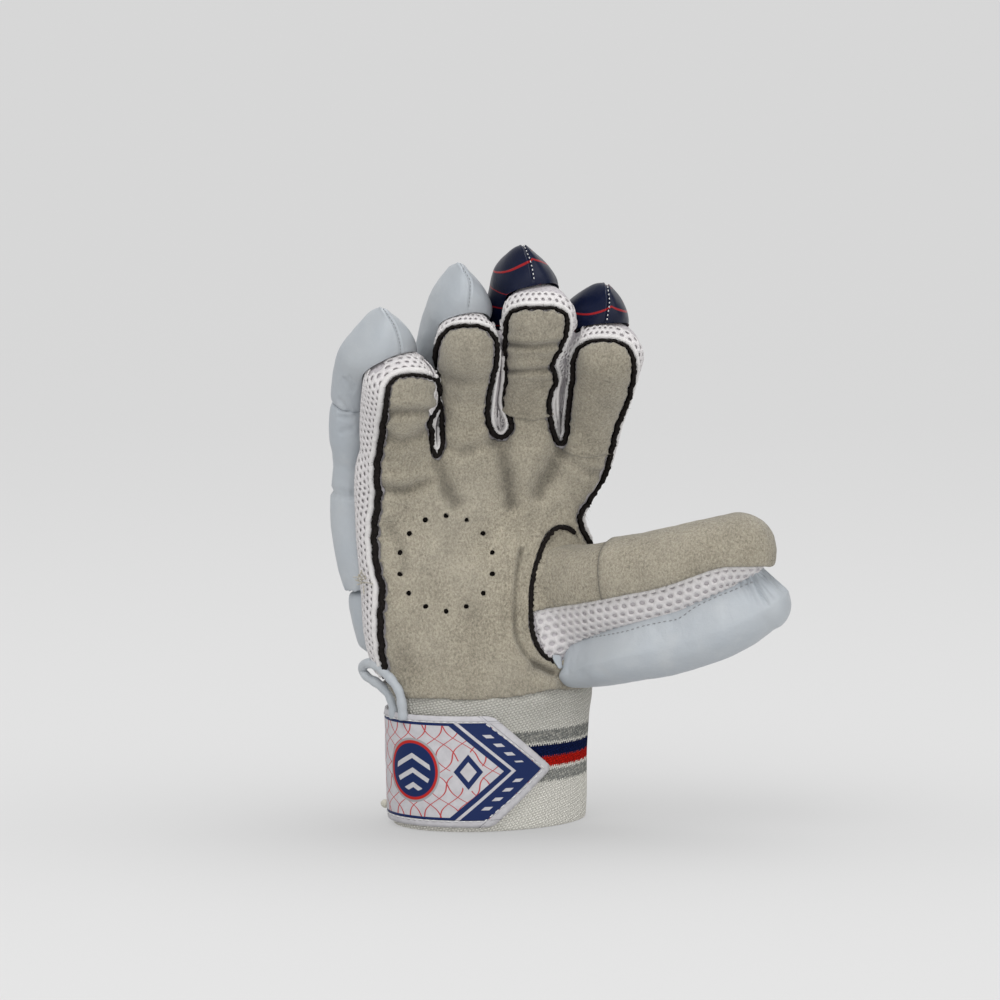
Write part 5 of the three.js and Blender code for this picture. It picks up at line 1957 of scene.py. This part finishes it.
def add_room():
    floor = bpy.data.meshes.new("floor")
    bend, deep, wide, tall, radius = 8, 2.2, 6.0, 4.0, 1.2
    profile = [(-14.0, 0.0), (deep, 0.0)]
    profile += [
        (deep + radius * math.sin(a), radius - radius * math.cos(a))
        for a in np.linspace(0, math.pi / 2, bend + 1)[1:]
    ]
    profile.append((deep + radius, tall))
    points = [(x, y, z) for y, z in profile for x in (-wide, wide)]
    faces = [(2 * k, 2 * k + 1, 2 * k + 3, 2 * k + 2) for k in range(len(profile) - 1)]
    floor.from_pydata(points, [], faces)
    floor.polygons.foreach_set("use_smooth", [True] * len(floor.polygons))
    backdrop = Finish("backdrop", 0.9, Specular_IOR_Level=0.1)
    backdrop.shader.inputs["Emission Color"].default_value = (1, 1, 1, 1)
    x, y, z = backdrop.split(backdrop.place())
    # Painted shadow: the backdrop glows evenly, less round the foot of the glove.
    near = backdrop.math("SQRT", backdrop.add(
        backdrop.math("POWER", backdrop.math("DIVIDE", backdrop.add(x, 0.02), 1.9), 2.0),
        backdrop.math("POWER", y, 2.0),
    ))
    shade = backdrop.math("EXPONENT", backdrop.times(near, -16.0))
    glow_with_painted_shadow = backdrop.take(0.585, backdrop.times(shade, 0.25))
    backdrop.put(backdrop.shader.inputs["Emission Strength"], glow_with_painted_shadow)
    floor.materials.append(backdrop.finish((0.165, 0.165, 0.165)))
    made = bpy.data.objects.new("floor", floor)
    made.rotation_euler = (0, 0, -math.radians(CAMERA["turn"]))
    bpy.context.scene.collection.objects.link(made)


def add_light(name, place, size, power, colour=(1, 1, 1)):
    data = bpy.data.lights.new(name, "AREA")
    data.shape = "DISK"
    data.size = size
    data.energy = power
    data.color = colour
    made = bpy.data.objects.new(name, data)
    spot = turned(*place)
    made.location = Vector((spot + np.array([SHIFT[0], SHIFT[1], 0])) * MM)
    aim = Vector((TARGET + SHIFT) * MM) - made.location
    made.rotation_euler = aim.to_track_quat("-Z", "Y").to_euler()
    bpy.context.scene.collection.objects.link(made)


def add_lights():
    add_light("key", (-500, -900, 1500), 1.1, 14.5)
    add_light("fill", (1100, -900, 500), 1.4, 5.5)
    add_light("low", (100, -1300, 130), 1.2, 6)
    add_light("top", (100, 300, 1700), 1.2, 7.5)
    world = bpy.data.worlds.new("room")
    world.use_nodes = True
    world.node_tree.nodes["Background"].inputs["Color"].default_value = (1, 1, 1, 1)
    world.node_tree.nodes["Background"].inputs["Strength"].default_value = 0.38
    bpy.context.scene.world = world
    bpy.context.scene.view_settings.view_transform = "Standard"


def add_camera():
    data = bpy.data.cameras.new("camera")
    data.sensor_width = 36.0
    data.lens = data.sensor_width * CAMERA["distance"] / CAMERA["width"]
    data.clip_end = 50
    made = bpy.data.objects.new("camera", data)
    made.location = Vector((EYE + SHIFT) * MM)
    made.rotation_euler = Vector(-BACKWARDS).to_track_quat("-Z", "Y").to_euler()
    bpy.context.scene.collection.objects.link(made)
    bpy.context.scene.camera = made


add_camera()
add_room()
add_lights()
add_cloth()
add_thumb_arc()
add_palm_nets(*add_palm())
add_fork_bindings()
add_rolls([hand_skin])
add_thumb([thumb_skin])
add_thumb_foot()
add_thumb_suede()
add_thumb_net()
add_wristband()
strap_place = add_strap()
add_strap_stitches(*strap_place)
add_loop()
add_tab()
add_tufts()
